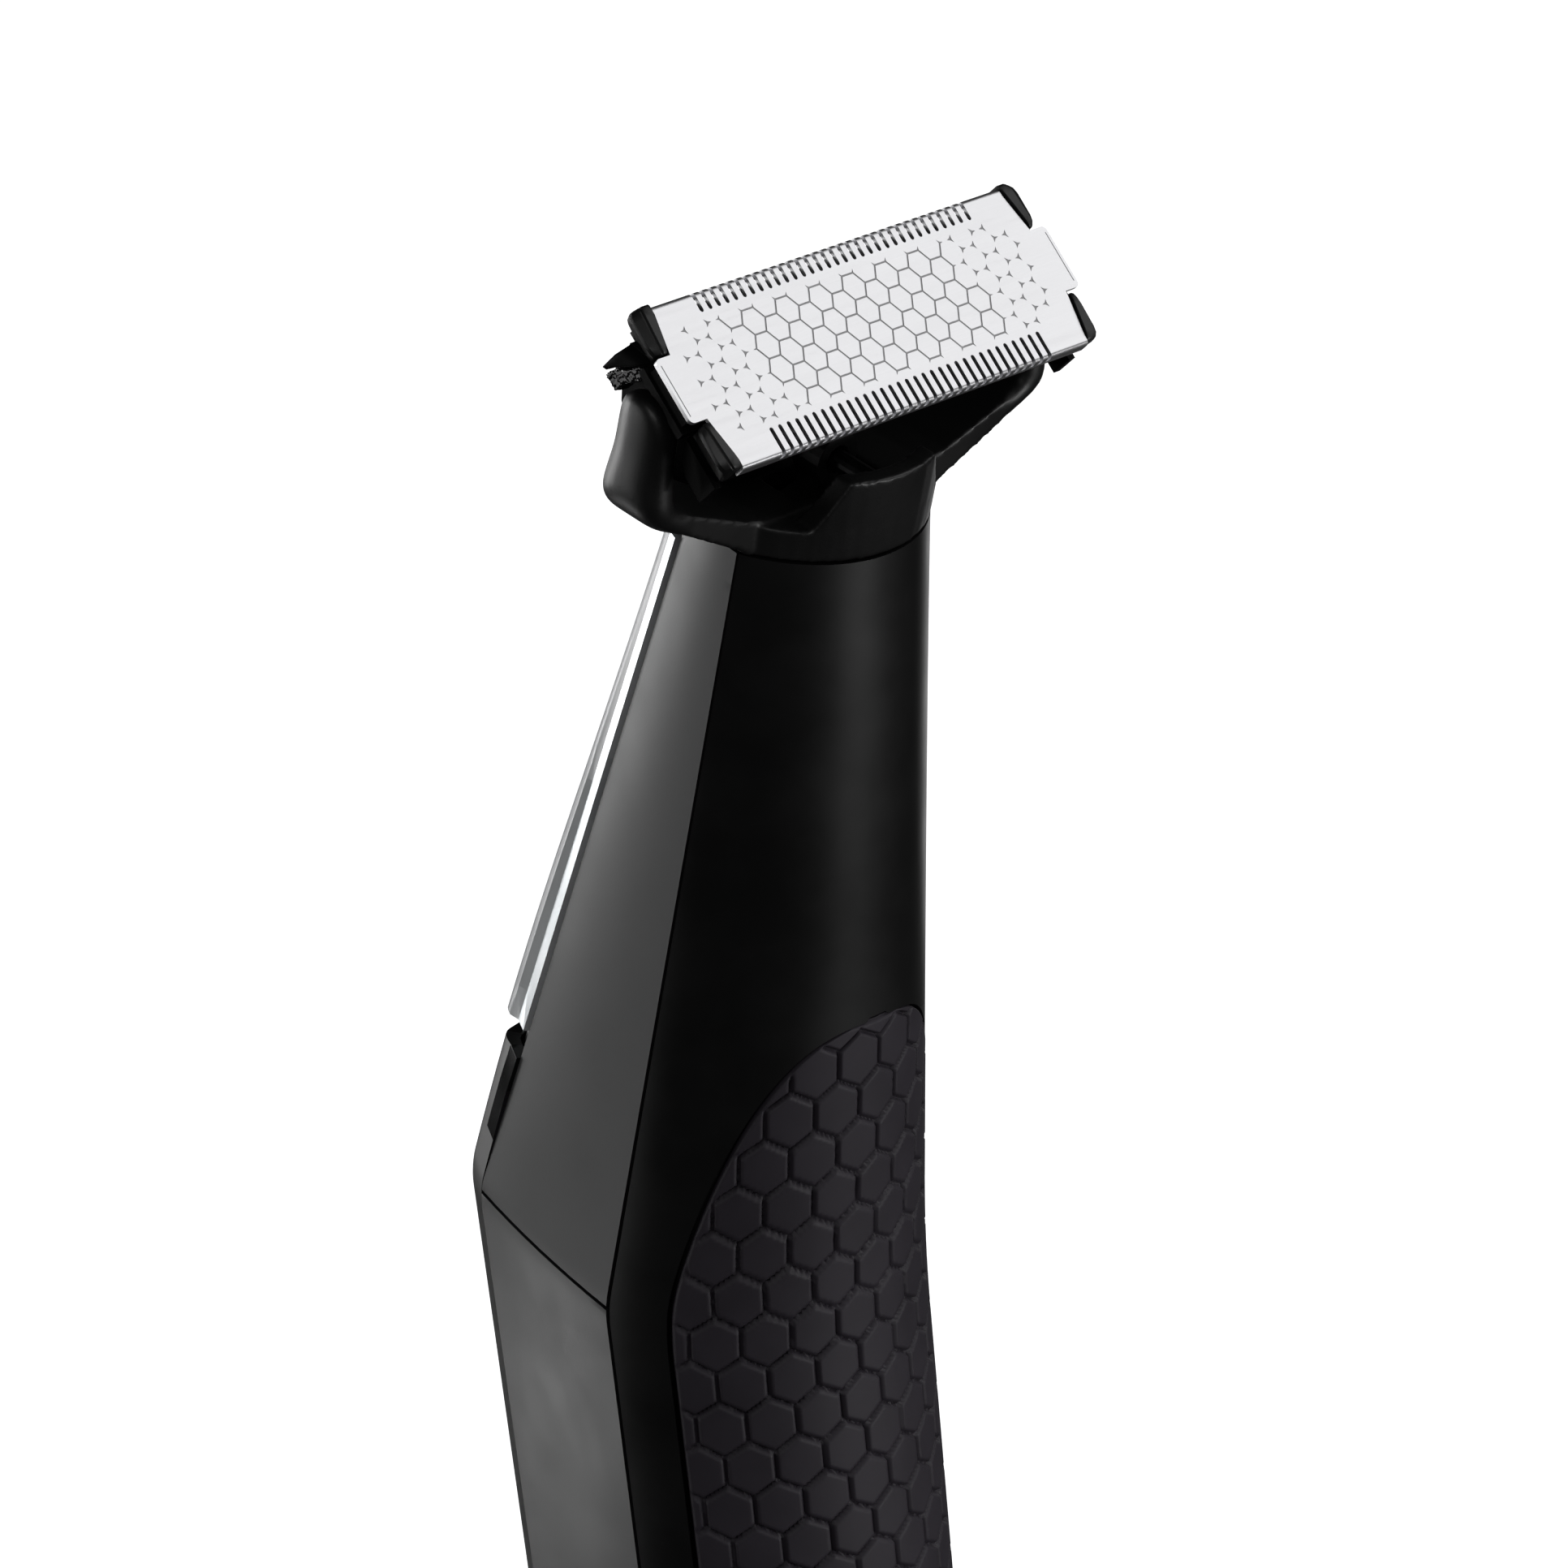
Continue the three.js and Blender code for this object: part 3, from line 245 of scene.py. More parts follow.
def round_edges(piece, radius, segments=3, angle=SHARP):
    """Rounds the edges that are sharper than an angle, and keeps flat faces flat in the shading."""
    bevel = piece.modifiers.new("bevel", "BEVEL")
    bevel.width = radius * MM
    bevel.segments = segments
    bevel.limit_method = "ANGLE"
    bevel.angle_limit = angle
    bevel.miter_outer = "MITER_ARC"
    settle(piece)
    piece.data.shade_smooth()
    piece.data.set_sharp_from_angle(angle=math.radians(60))
    weighted = piece.modifiers.new("weighted", "WEIGHTED_NORMAL")
    weighted.keep_sharp = True
    weighted.weight = 100
    return settle(piece)


def carve(piece, tool, operation="DIFFERENCE"):
    """Cuts a tool out of a piece, or joins it on, and removes the tool."""
    cutting = piece.modifiers.new("carve", "BOOLEAN")
    cutting.operation = operation
    cutting.solver = "MANIFOLD"
    cutting.object = tool
    settle(piece)
    bpy.data.objects.remove(tool)


def remake(piece, voxel):
    """Makes a piece's mesh again from small voxels."""
    remesh = piece.modifiers.new("remesh", "REMESH")
    remesh.mode = "VOXEL"
    remesh.voxel_size = voxel * MM
    settle(piece)


def grid_faces(rows, columns, first=0):
    """The quads of a grid of points, row by row."""
    faces = []
    for row in range(rows - 1):
        for column in range(columns - 1):
            corner = first + row * columns + column
            faces.append((corner, corner + 1, corner + columns + 1, corner + columns))
    return faces


def two_skins(outer, inner):
    """The points and faces of two grids that face away from each other, each a list of rows."""
    outer_points = np.concatenate(outer)
    faces = grid_faces(len(outer), len(outer[0]))
    back = grid_faces(len(inner), len(inner[0]), len(outer_points))
    faces += [tuple(reversed(face)) for face in back]
    return np.concatenate([outer_points, np.concatenate(inner)]), faces


def sheet(name, outer, inner, finish):
    """A closed thin solid between two grids of points, each a list of rows."""
    rows = len(outer)
    columns = len(outer[0])
    half = rows * columns
    points, faces = two_skins(outer, inner)
    rim = list(range(columns))
    rim += [row * columns + columns - 1 for row in range(1, rows)]
    rim += [(rows - 1) * columns + column for column in range(columns - 2, -1, -1)]
    rim += [row * columns for row in range(rows - 2, 0, -1)]
    for here, after in zip(rim, rim[1:] + rim[:1]):
        faces.append((after, here, here + half, after + half))
    return build(name, points, faces, finish)


def loft(name, rings, finish, local=part_frame):
    """A solid drawn over rings of equally many points, and capped at both ends."""
    count = len(rings[0])
    points = np.concatenate(rings)
    faces = []
    for here in range(0, len(points) - count, count):
        beyond = here + count
        for k in range(count):
            after = (k + 1) % count
            faces.append((here + k, here + after, beyond + after, beyond + k))
    faces.append(tuple(reversed(range(count))))
    faces.append(tuple(range(len(points) - count, len(points))))
    return build(name, points, faces, finish, local)


def cad_copy(name, node, finish, radius):
    """A CAD node's shape with its flat faces merged and its edges rounded."""
    mesh = frame["nodes"][node].data.copy()
    shape = bmesh.new()
    shape.from_mesh(mesh)
    bmesh.ops.remove_doubles(shape, verts=shape.verts, dist=0.001 * MM)
    bmesh.ops.dissolve_limit(shape, angle_limit=math.radians(0.8), verts=shape.verts, edges=shape.edges)
    shape.to_mesh(mesh)
    shape.free()
    if mesh.has_custom_normals:
        mesh.attributes.remove(mesh.attributes["custom_normal"])
    piece = in_scene(name, mesh)
    paint(piece, finish)
    if radius:
        round_edges(piece, radius, 2)
    else:
        soften(piece)
    return piece


def attach(piece, body, slot, *nodes):
    """Puts a piece on its body, in place of its CAD nodes."""
    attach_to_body(piece, body)
    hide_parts(*nodes)


# ---- the handle's surface

GAP = 0.3
WALL = 2
HANDLE_LENGTH = 90
NECK_LENGTH = 57.7
TOTAL_LENGTH = NECK_LENGTH + HANDLE_LENGTH
BASE_TAPER = 0.9
BEND_Z = 87
BEND_SLOPE_FRONT = 0.35
BEND_SLOPE_BACK = 0.12
SIDE_CROWN = 0.35
FRONT_SOFTNESS = 1.4  # half length of the round bend at the front, and at the middle of the back
BACK_SOFTNESS = 7


class Section:
    """The handle's outline at one place: a back arc, flat sides, two bevels and a crowned front."""

    def __init__(self, back_y, back_radius, parting, edge, shoulder, front_y):
        self.back_y = back_y
        self.back_radius = back_radius
        self.parting = parting
        self.edge = edge
        self.shoulder = shoulder
        self.front_y = front_y

    def scaled(self, share):
        return Section(
            self.back_y * share, self.back_radius * share, self.parting,
            (self.edge[0] * share, self.edge[1] * share),
            (self.shoulder[0] * share, self.shoulder[1] * share), self.front_y * share)


neck_section = Section(0, 10.8, math.radians(29.4), (7.8, -0.9), (7.1, -2.7), -3.5)
bend_section = Section(1.3, 14.35, math.radians(7), (11.3, -12.3), (9.4, -15.2), -16.1)
base_section = bend_section.scaled(BASE_TAPER)
BEND_PARTING_Y = bend_section.back_y + bend_section.back_radius * math.sin(bend_section.parting)


def stack(x, y, z):
    """Points from their coordinates, each a number or an array."""
    x, y, z = np.broadcast_arrays(np.asarray(x, float), y, z)
    return np.stack([x, y, z], axis=-1)


def on_handle(pick, length):
    """Where outline points lie, at a distance in millimetres from the head seam along the handle.

    pick gives x and y in a section. The bend is a crease, softened most at the middle of the back.
    """
    neck_xy = pick(neck_section)
    bend_xy = pick(bend_section)
    base_xy = pick(base_section)
    slope = np.where(np.asarray(bend_xy[1]) < BEND_PARTING_Y, BEND_SLOPE_FRONT, BEND_SLOPE_BACK)
    at_neck = neck_frame.out(stack(neck_xy[0], neck_xy[1], 0.0))
    at_bend = stack(bend_xy[0], bend_xy[1], BEND_Z - slope * (bend_xy[1] - BEND_PARTING_Y))
    at_base = stack(base_xy[0], base_xy[1], 0.0)
    above = (at_bend - at_neck) / NECK_LENGTH
    below = (at_base - at_bend) / HANDLE_LENGTH
    past = length - NECK_LENGTH
    depth = np.clip((np.asarray(bend_xy[1]) - BEND_PARTING_Y) / 12, 0, 1)[..., None]
    softness = FRONT_SOFTNESS + (BACK_SOFTNESS - FRONT_SOFTNESS) * depth
    cut = np.maximum(softness - abs(past), 0)
    return at_bend + (above if past < 0 else below) * past + (below - above) * cut**2 / (4 * softness)


def back_point(share, inset):
    """On the back arc, from one parting line (share 0) round to the other (share 1)."""
    def pick(section):
        angle = section.parting + (math.pi - 2 * section.parting) * np.asarray(share, float)
        radius = section.back_radius - inset
        return radius * np.cos(angle), section.back_y + radius * np.sin(angle)
    return pick


def side_point(side, share, inset):
    """On a side, from the parting line (share 0) to the edge (share 1); the outside is slightly crowned."""
    def pick(section):
        x0 = (section.back_radius - inset) * math.cos(section.parting)
        y0 = section.back_y + section.back_radius * math.sin(section.parting)
        x1 = section.edge[0] - inset
        y1 = section.edge[1] + 0.4 * inset
        crown = SIDE_CROWN * 4 * share * (1 - share) if inset == 0 else 0
        return side * (x0 + (x1 - x0) * share + crown), y0 + (y1 - y0) * share
    return pick


def bevel_point(side, along, depth, from_shoulder=False):
    """On a bevel, a distance along it from the edge, or from the shoulder, and some depth under it."""
    def pick(section):
        run = np.subtract(section.shoulder, section.edge)
        length = np.linalg.norm(run)
        run = run / length
        distance = length - along if from_shoulder else along
        x = section.edge[0] + run[0] * distance + run[1] * depth
        y = section.edge[1] + run[1] * distance - run[0] * depth
        return side * x, y
    return pick


def bevel_share(side, share, depth):
    """On a bevel, a share of its length from the edge, and some depth under it."""
    def pick(section):
        length = math.dist(section.shoulder, section.edge)
        return bevel_point(side, share * length, depth)(section)
    return pick


def front_point(across, inset):
    """On the front, from one shoulder (across -1) to the other (across 1)."""
    def pick(section):
        v = np.asarray(across, float)
        crown = (section.shoulder[1] - section.front_y) * v * v
        return v * (section.shoulder[0] - 0.7 * inset), section.front_y + inset + crown
    return pick


def round_shoulder(side, inset):
    """The round corner between a bevel and the front, as picks from the bevel to the front."""
    def at(share):
        def pick(section):
            first = np.array(bevel_point(side, SHOULDER_ROUND, inset, True)(section))
            corner = np.array(front_point(side, inset)(section))
            last = np.array(front_point(side * (1 - SHOULDER_ROUND / section.shoulder[0]), inset)(section))
            point = first * (1 - share) ** 2 + corner * 2 * share * (1 - share) + last * share**2
            return point[0], point[1]
        return pick
    return [at(k / ROUND_STEPS) for k in range(ROUND_STEPS + 1)]


SHOULDER_ROUND = 0.7
ROUND_STEPS = 4
BRIGHT_SHARE = 0.56
FRONT_SHARES = np.linspace(-0.92, 0.92, 11)


def row_of(picks, length):
    return np.array([on_handle(pick, length) for pick in picks])


def stops(start, end, step):
    """Places from one distance to another, closer together round the bend."""
    places = list(np.linspace(start, end, max(2, round((end - start) / step) + 1)))
    for offset in (0.2, 0.6, 1, 1.4, 2, 3, 4.5, 6):
        for place in (NECK_LENGTH - offset, NECK_LENGTH + offset):
            if start + 0.15 < place < end - 0.15:
                places.append(place)
    return sorted(places)


# ---- casings

BACK_ARC = 40  # about the length of the back arc
SIDE_START = 0.012  # share of a side that the parting gap takes
SLIVER = 0.02  # keeps points apart that would otherwise meet
PLATE_PROUD = 0.5
PLATE_DEPTH = 0.6
PLATE_FROM = 2.6
PLATE_TO = 43.8
PLATE_HALF_WIDTH = 5.6
BEZEL_STEP = 0.15  # how far the bezel lies under the plate's face
BEZEL_RIM = 0.8
FASCIA_BOW = 0.45
PANEL_FROM = 46
PANEL_MARGIN = 0.03
PANEL_TO = NECK_LENGTH + 0.52 * HANDLE_LENGTH
BUTTON_Z = 66
BUTTON_WIDTH = 8
BUTTON_HEIGHT = 13
LENS_Z = 50
LENS_WIDTH = 2.4
HOLE_REACH = (-25, -9)


def rear_casing():
    """The back half: one smooth shell with a recess for the grip."""
    margin = GAP / 2 / BACK_ARC
    shares = np.linspace(margin, 1 - margin, 97)
    places = stops(0, TOTAL_LENGTH, 2)
    outer = [on_handle(back_point(shares, 0), place) for place in places]
    inner = [on_handle(back_point(shares, WALL), place) for place in places]
    piece = sheet("rear_shell", outer, inner, "black_case")
    carve(piece, grip_recess())
    soften(piece, math.radians(40))
    attach(piece, "handle", "black_case", "rear_casing")


def casing_ring(length, recess):
    """One ring of the front half's section: the outside, the floor of the recess, and the inside."""
    sides = np.linspace(SIDE_START, 1, 9)
    picks = [side_point(1, share, 0) for share in sides]
    picks += [bevel_point(1, SLIVER, recess), bevel_point(1, SHOULDER_ROUND, recess, True)]
    picks += [front_point(share, recess) for share in reversed(FRONT_SHARES)]
    picks += [bevel_point(-1, SHOULDER_ROUND, recess, True), bevel_point(-1, SLIVER, recess)]
    picks += [side_point(-1, share, 0) for share in reversed(sides)]
    picks += [side_point(-1, share, WALL) for share in sides]
    picks += [front_point(share, WALL) for share in FRONT_SHARES]
    picks += [side_point(1, share, WALL) for share in reversed(sides)]
    return row_of(picks, length)


def front_casing(name, start, end):
    """Half of the front shell: flat satin sides round a recess for the fascia."""
    recess_from = PLATE_FROM - GAP
    recess_to = PANEL_TO + GAP
    rings = []
    places = stops(start, end, 3)
    for edge in (recess_from, recess_to):
        if start < edge < end:
            places += [edge - SLIVER, edge + SLIVER]
    for place in sorted(places):
        inside = recess_from < place < recess_to
        rings.append(casing_ring(place, PLATE_DEPTH + GAP if inside else SLIVER))
    return round_edges(loft(name, rings, "grey_case"), 0.14, 3, math.radians(30))


def front_casings():
    upper = front_casing("upper_front_shell", 0, NECK_LENGTH - GAP / 2)
    attach(upper, "handle", "grey_case", "upper_front_casing")
    lower = front_casing("lower_front_shell", NECK_LENGTH + GAP / 2, TOTAL_LENGTH)
    for tool in front_holes():
        carve(lower, tool)
    soften(lower, math.radians(40))
    attach(lower, "handle", "grey_case", "lower_front_casing")


def stadium(width, height, middle_z, y):
    """A ring with round ends, upright in a plane across Y."""
    count = 48
    radius = width / 2
    straight = height / 2 - radius
    ring = []
    for k in range(count):
        angle = 2 * math.pi * (k + 0.5) / count
        lift = straight if math.sin(angle) > 0 else -straight
        ring.append((radius * math.cos(angle), y, middle_z + radius * math.sin(angle) + lift))
    return np.array(ring)


def front_holes():
    """Tools for the button's hole and the lens's hole."""
    tools = []
    holes = ((BUTTON_WIDTH, BUTTON_HEIGHT, BUTTON_Z), (LENS_WIDTH, LENS_WIDTH, LENS_Z))
    for width, height, middle_z in holes:
        rings = [stadium(width + 2 * GAP, height + 2 * GAP, middle_z, y) for y in HOLE_REACH]
        tools.append(loft("hole", rings, "black_case"))
    return tools


def bow(length):
    """How far the fascia bows outwards, most at the middle of the neck."""
    share = min(max((length - PLATE_FROM) / (NECK_LENGTH - PLATE_FROM), 0), 1)
    return FASCIA_BOW * math.sin(math.pi * share**1.6)


def skin(name, picks, start, end, proud, depth, finish, step=2.5):
    """A thin solid over the front, bowed like the fascia; picks gives a row's points for an inset."""
    places = stops(start, end, step)
    outer = [row_of(picks(-proud - bow(place)), place) for place in places]
    inner = [row_of(picks(depth), place) for place in places]
    return sheet(name, outer, inner, finish)


def wrapped(margin):
    """Picks over the front and both bevels, leaving a margin at the edges."""
    def picks(inset):
        edge_inset = max(inset, -GAP)
        row = [bevel_point(1, margin, edge_inset), bevel_share(1, BRIGHT_SHARE, edge_inset)]
        row += round_shoulder(1, inset)
        row += [front_point(share, inset) for share in reversed(FRONT_SHARES)]
        row += list(reversed(round_shoulder(-1, inset)))
        row += [bevel_share(-1, BRIGHT_SHARE, edge_inset), bevel_point(-1, margin, edge_inset)]
        return row
    return picks


def strip(half_width):
    """Picks over the middle of the front."""
    def picks(inset):
        def at(share):
            return lambda section: front_point(share * half_width / section.shoulder[0], inset)(section)
        return [at(share) for share in np.linspace(1, -1, 13)]
    return picks


def fascia():
    """The bright bezel that wraps the front, and the plate in its window."""
    bezel = skin(
        "fascia_surround", wrapped(GAP), PLATE_FROM, PLATE_TO, PLATE_PROUD - BEZEL_STEP, PLATE_DEPTH,
        "bright_plate")
    paint_rim(bezel)
    window = skin(
        "window", strip(PLATE_HALF_WIDTH + GAP), PLATE_FROM + BEZEL_RIM, PLATE_TO - BEZEL_RIM, 3, 3,
        "black_case")
    carve(bezel, window)
    round_edges(bezel, 0.12, 2, math.radians(35))
    attach(bezel, "handle", "bright_plate", "fascia_bezel")
    inset = BEZEL_RIM + GAP
    plate = skin(
        "fascia_window_plate", strip(PLATE_HALF_WIDTH), PLATE_FROM + inset, PLATE_TO - inset, PLATE_PROUD,
        PLATE_DEPTH, "grey_trim")
    round_edges(plate, 0.18, 3)
    attach(plate, "handle", "grey_trim", "fascia_plate")


ACROSS = 2 * ROUND_STEPS + len(FRONT_SHARES) + 5  # faces in a row of a wrapped skin


def paint_rim(piece):
    """Paints the strips next to the edges bright, and the rest grey."""
    paint(piece, "bright_plate", "grey_trim")
    for index, face in enumerate(piece.data.polygons):
        column = index % ACROSS
        face.material_index = 0 if column in (0, ACROSS - 1) else 1


def lower_panel():
    """The panel below the bright plate: gloss black, with satin bevels like the casing's sides."""
    panel = skin(
        "lower_gloss_panel", wrapped(PANEL_MARGIN), PANEL_FROM, PANEL_TO, 0, PLATE_DEPTH, "gloss_black", 3)
    paint(panel, "gloss_black", "grey_case")
    for index, face in enumerate(panel.data.polygons):
        from_edge = min(index % ACROSS, ACROSS - 1 - index % ACROSS)
        on_neck = neck_frame.into(np.array(face.center) / MM)[2] > -NECK_LENGTH + 3
        satin = from_edge <= ROUND_STEPS and not (on_neck and from_edge == 0)
        face.material_index = 1 if satin else 0
    for tool in front_holes():
        carve(panel, tool)
    round_edges(panel, 0.05, 2, math.radians(38))
    attach(panel, "handle", "gloss_black", "lower_panel")


# ---- grip

GRIP_TOP = 0.615 * NECK_LENGTH
GRIP_BOTTOM = NECK_LENGTH + 0.9 * HANDLE_LENGTH
GRIP_FOOT = 0.08 * HANDLE_LENGTH
GRIP_HALF_SPAN = 0.381
GRIP_PROUD = 0.05
GRIP_DEPTH = 0.8
HEX_ACROSS = 3.68  # between two opposite grooves
HEX_RISE = 3.4  # between two rows
HEX_SHIFT = (1.64, -0.8)
HEX_SHEAR = 0.075
GROOVE_HALF_WIDTH = 0.23
GROOVE_DEPTH = 0.5
BORDER_WIDTH = 0.35
BORDER_DEPTH = 0.3
PLAIN_RIM = 0.9  # the grooves fade out over this distance from the border
GRIP_RATIO = 8  # steps of the grip's outside to one step of its inside


def grip_half_span(length):
    """Half of the grip's width as a share of the back: a round arch above a straight strip."""
    rise = min(max((length - GRIP_TOP) / (NECK_LENGTH - GRIP_TOP), 0), 1)
    foot = min(max((GRIP_BOTTOM - length) / GRIP_FOOT, 0), 1)
    arch = (1 - (1 - rise) ** 1.5) ** 0.36
    corner = math.sqrt(1 - (1 - foot) ** 2)
    return GRIP_HALF_SPAN * arch * (0.7 + 0.3 * corner)


def grip_places(arch_steps, strip_steps):
    """Distances from the seam for the grip's rows, close together where its outline turns."""
    quarter = math.pi / 2
    arch = NECK_LENGTH - GRIP_TOP
    straight_end = GRIP_BOTTOM - GRIP_FOOT
    straight = straight_end - NECK_LENGTH
    straight_steps = round(strip_steps * 0.9)
    foot_steps = strip_steps - straight_steps
    places = [GRIP_TOP + arch * (1 - math.cos(quarter * k / arch_steps)) for k in range(1, arch_steps)]
    places += [NECK_LENGTH + straight * k / straight_steps for k in range(straight_steps)]
    places += [straight_end + GRIP_FOOT * math.sin(quarter * k / foot_steps) for k in range(foot_steps + 1)]
    return places


def back_span(length):
    """The back arc's length between the parting lines, in millimetres."""
    if length < NECK_LENGTH:
        share, first, last = length / NECK_LENGTH, neck_section, bend_section
    else:
        share, first, last = (length - NECK_LENGTH) / HANDLE_LENGTH, bend_section, base_section
    arcs = [section.back_radius * (math.pi - 2 * section.parting) for section in (first, last)]
    return arcs[0] + (arcs[1] - arcs[0]) * share


def grip_recess():
    """A plain tool with the grip's outline, widened and deepened by the gap."""
    places = grip_places(120, 150)
    outer, inner = [], []
    for place in places:
        half = grip_half_span(place) + GAP / back_span(place)
        shares = 0.5 + half * np.linspace(-1, 1, 49)
        shift = -GAP if place == places[0] else GAP if place == places[-1] else 0
        outer.append(on_handle(back_point(shares, -3), place + shift))
        inner.append(on_handle(back_point(shares, GRIP_DEPTH + GAP), place + shift))
    return sheet("grip_recess", outer, inner, "black_case")


def hexagon_edge_distance(a, b):
    """How far a point is from the nearest groove of a honeycomb with grooves along b."""
    pitch = HEX_ACROSS
    rise = pitch * math.sqrt(3) / 2
    nearest = np.full(np.shape(a), np.inf)
    off_a = off_b = np.zeros(np.shape(a))
    row = np.round(b / rise)
    for this_row in (row - 1, row, row + 1):
        offset = (this_row % 2) * pitch / 2
        from_a = a - np.round((a - offset) / pitch) * pitch - offset
        from_b = b - this_row * rise
        distance = from_a**2 + from_b**2
        closer = distance < nearest
        nearest = np.where(closer, distance, nearest)
        off_a = np.where(closer, from_a, off_a)
        off_b = np.where(closer, from_b, off_b)
    reach = np.zeros(np.shape(a))
    for angle in (0, 60, 120):
        turn = math.radians(angle)
        reach = np.maximum(reach, abs(off_a * math.cos(turn) + off_b * math.sin(turn)))
    return pitch / 2 - reach


def smooth_step(value):
    value = np.clip(value, 0, 1)
    return value * value * (3 - 2 * value)


def rubber_grip():
    """The honeycombed rubber: a fine grid sunk along the grooves and round its border."""
    places = grip_places(GRIP_RATIO * 16, GRIP_RATIO * 48)
    places = places[: len(places) - (len(places) - 1) % GRIP_RATIO]
    across = np.linspace(-1, 1, GRIP_RATIO * 24 + 1)
    outer, inner = [], []
    for place in places:
        half = grip_half_span(place)
        span = back_span(place)
        shares = 0.5 + half * across
        a = (shares - 0.5) * span + HEX_SHIFT[0]
        b = place - NECK_LENGTH + HEX_SHIFT[1] + HEX_SHEAR * (shares - 0.5) * span
        squeezed = b * HEX_ACROSS * math.sqrt(3) / 2 / HEX_RISE
        groove = 1 - smooth_step(hexagon_edge_distance(a, squeezed) / GROOVE_HALF_WIDTH)
        from_side = (1 - abs(across)) * half * span
        from_end = min(place - places[0], places[-1] - place)
        from_border = np.minimum(from_side, from_end)
        border = 1 - smooth_step(from_border / BORDER_WIDTH)
        rim = smooth_step(from_border / PLAIN_RIM)
        sink = GROOVE_DEPTH * groove * rim + BORDER_DEPTH * border**2
        on_surface = on_handle(back_point(shares, 0), place)
        outwards = on_surface - on_handle(back_point(shares, 1), place)
        outer.append(on_surface + outwards * (GRIP_PROUD - sink)[:, None])
        inner.append(on_surface - outwards * GRIP_DEPTH)
    inner = [row[::GRIP_RATIO] for row in inner[::GRIP_RATIO]]
    piece = fine_sheet("honeycomb_grip", outer, inner, GRIP_RATIO, "black_rubber")
    attach(piece, "handle", "black_rubber", "rubber_grip")


def fine_sheet(name, outer, inner, ratio, finish):
    """A closed solid between a fine grid and one that is coarser by a whole ratio."""
    rows, columns = len(outer), len(outer[0])
    coarse_rows, coarse_columns = len(inner), len(inner[0])
    first = rows * columns
    points, faces = two_skins(outer, inner)
    for k in range(coarse_columns - 1):
        for row, coarse_row in ((0, 0), (rows - 1, coarse_rows - 1)):
            run = [row * columns + k * ratio + step for step in range(ratio + 1)]
            under = first + coarse_row * coarse_columns + k
            faces.append((*reversed(run), under, under + 1))
    for k in range(coarse_rows - 1):
        for column, coarse_column in ((0, 0), (columns - 1, coarse_columns - 1)):
            run = [(k * ratio + step) * columns + column for step in range(ratio + 1)]
            under = first + k * coarse_columns + coarse_column
            faces.append((*run, under + coarse_columns, under))
    return build(name, points, faces, finish, sharp=math.radians(75))


# ---- button

BUTTON_FACE = -16.5


def power_button():
    """A gloss button with a round rim and a shallow dish."""
    profile = [(0, -13.4), (0, BUTTON_FACE + 0.45), (0.06, BUTTON_FACE + 0.2), (0.22, BUTTON_FACE + 0.05),
               (0.45, BUTTON_FACE), (0.9, BUTTON_FACE), (1.1, BUTTON_FACE + 0.05), (1.6, BUTTON_FACE + 0.16),
               (2.4, BUTTON_FACE + 0.26), (3.6, BUTTON_FACE + 0.32)]
    rings = [
        stadium(BUTTON_WIDTH - 2 * inset, BUTTON_HEIGHT - 2 * inset, BUTTON_Z, y) for inset, y in profile]
    cap = loft("power_button_cap", rings, "gloss_black")
    stem = [stadium(2.6, 2.6, BUTTON_Z, y) for y in (-13.6, -12.0)]
    carve(cap, loft("stem", stem, "gloss_black"), "UNION")
    soften(cap)
    attach(cap, "button", "gloss_black", "power_button")


# ---- foil

FOIL_TOP = 4.95
FOIL_HALF_LENGTH = 17.3
FOIL_HALF_WIDTH = 6.4
FOIL_THICKNESS = 0.3
FOIL_BEND = 0.36
FLANGE_DROP = 1.0
TAB_HALF_LENGTH = 19.45
TAB_FROM = -2.75
TAB_TO = 2.25
TAB_ROUND = 0.4
TAB_ROOT = 17.95  # where a tab's sides turn to slant out to the foil's edges
TAB_SLANT_Y = 6
SLOT_PITCH = 0.833
SLOTS_PER_SIDE = 33
SLOT_HALF_WIDTH = 0.17
SLOT_FRONT_INNER = -4.85
SLOT_BACK_INNER = 4.3
SLOT_FOOT = 0.42  # height of the flange below a slot
HEX_PITCH = 1.9  # between the etched cells' centres
HEX_CENTRE = (11.3, -2.13)
ETCH_DEPTH = 0.03
ETCH_HALF_WIDTH = 0.07
STAR_HALF_WIDTH = 0.095
RIM_LINE = (0.24, 0.32)  # a tab's etched rim line, from its end
NUDGE = 0.00031  # keeps equal places from rounding to different keys


def foil_section():
    """The bent sheet's section across the foil, as a closed ring of (y, z)."""
    def outline(inset):
        half = FOIL_HALF_WIDTH - inset
        top = FOIL_TOP - inset
        radius = FOIL_BEND - inset
        ring = [(-half, FOIL_TOP - FLANGE_DROP)]
        for side, first in ((-1, math.pi), (1, math.pi / 2)):
            middle = side * (half - radius)
            for k in range(7):
                angle = first - k * math.pi / 12
                ring.append((middle + radius * math.cos(angle), top - radius + radius * math.sin(angle)))
        ring.append((half, FOIL_TOP - FLANGE_DROP))
        return ring
    return outline(0) + list(reversed(outline(FOIL_THICKNESS)))


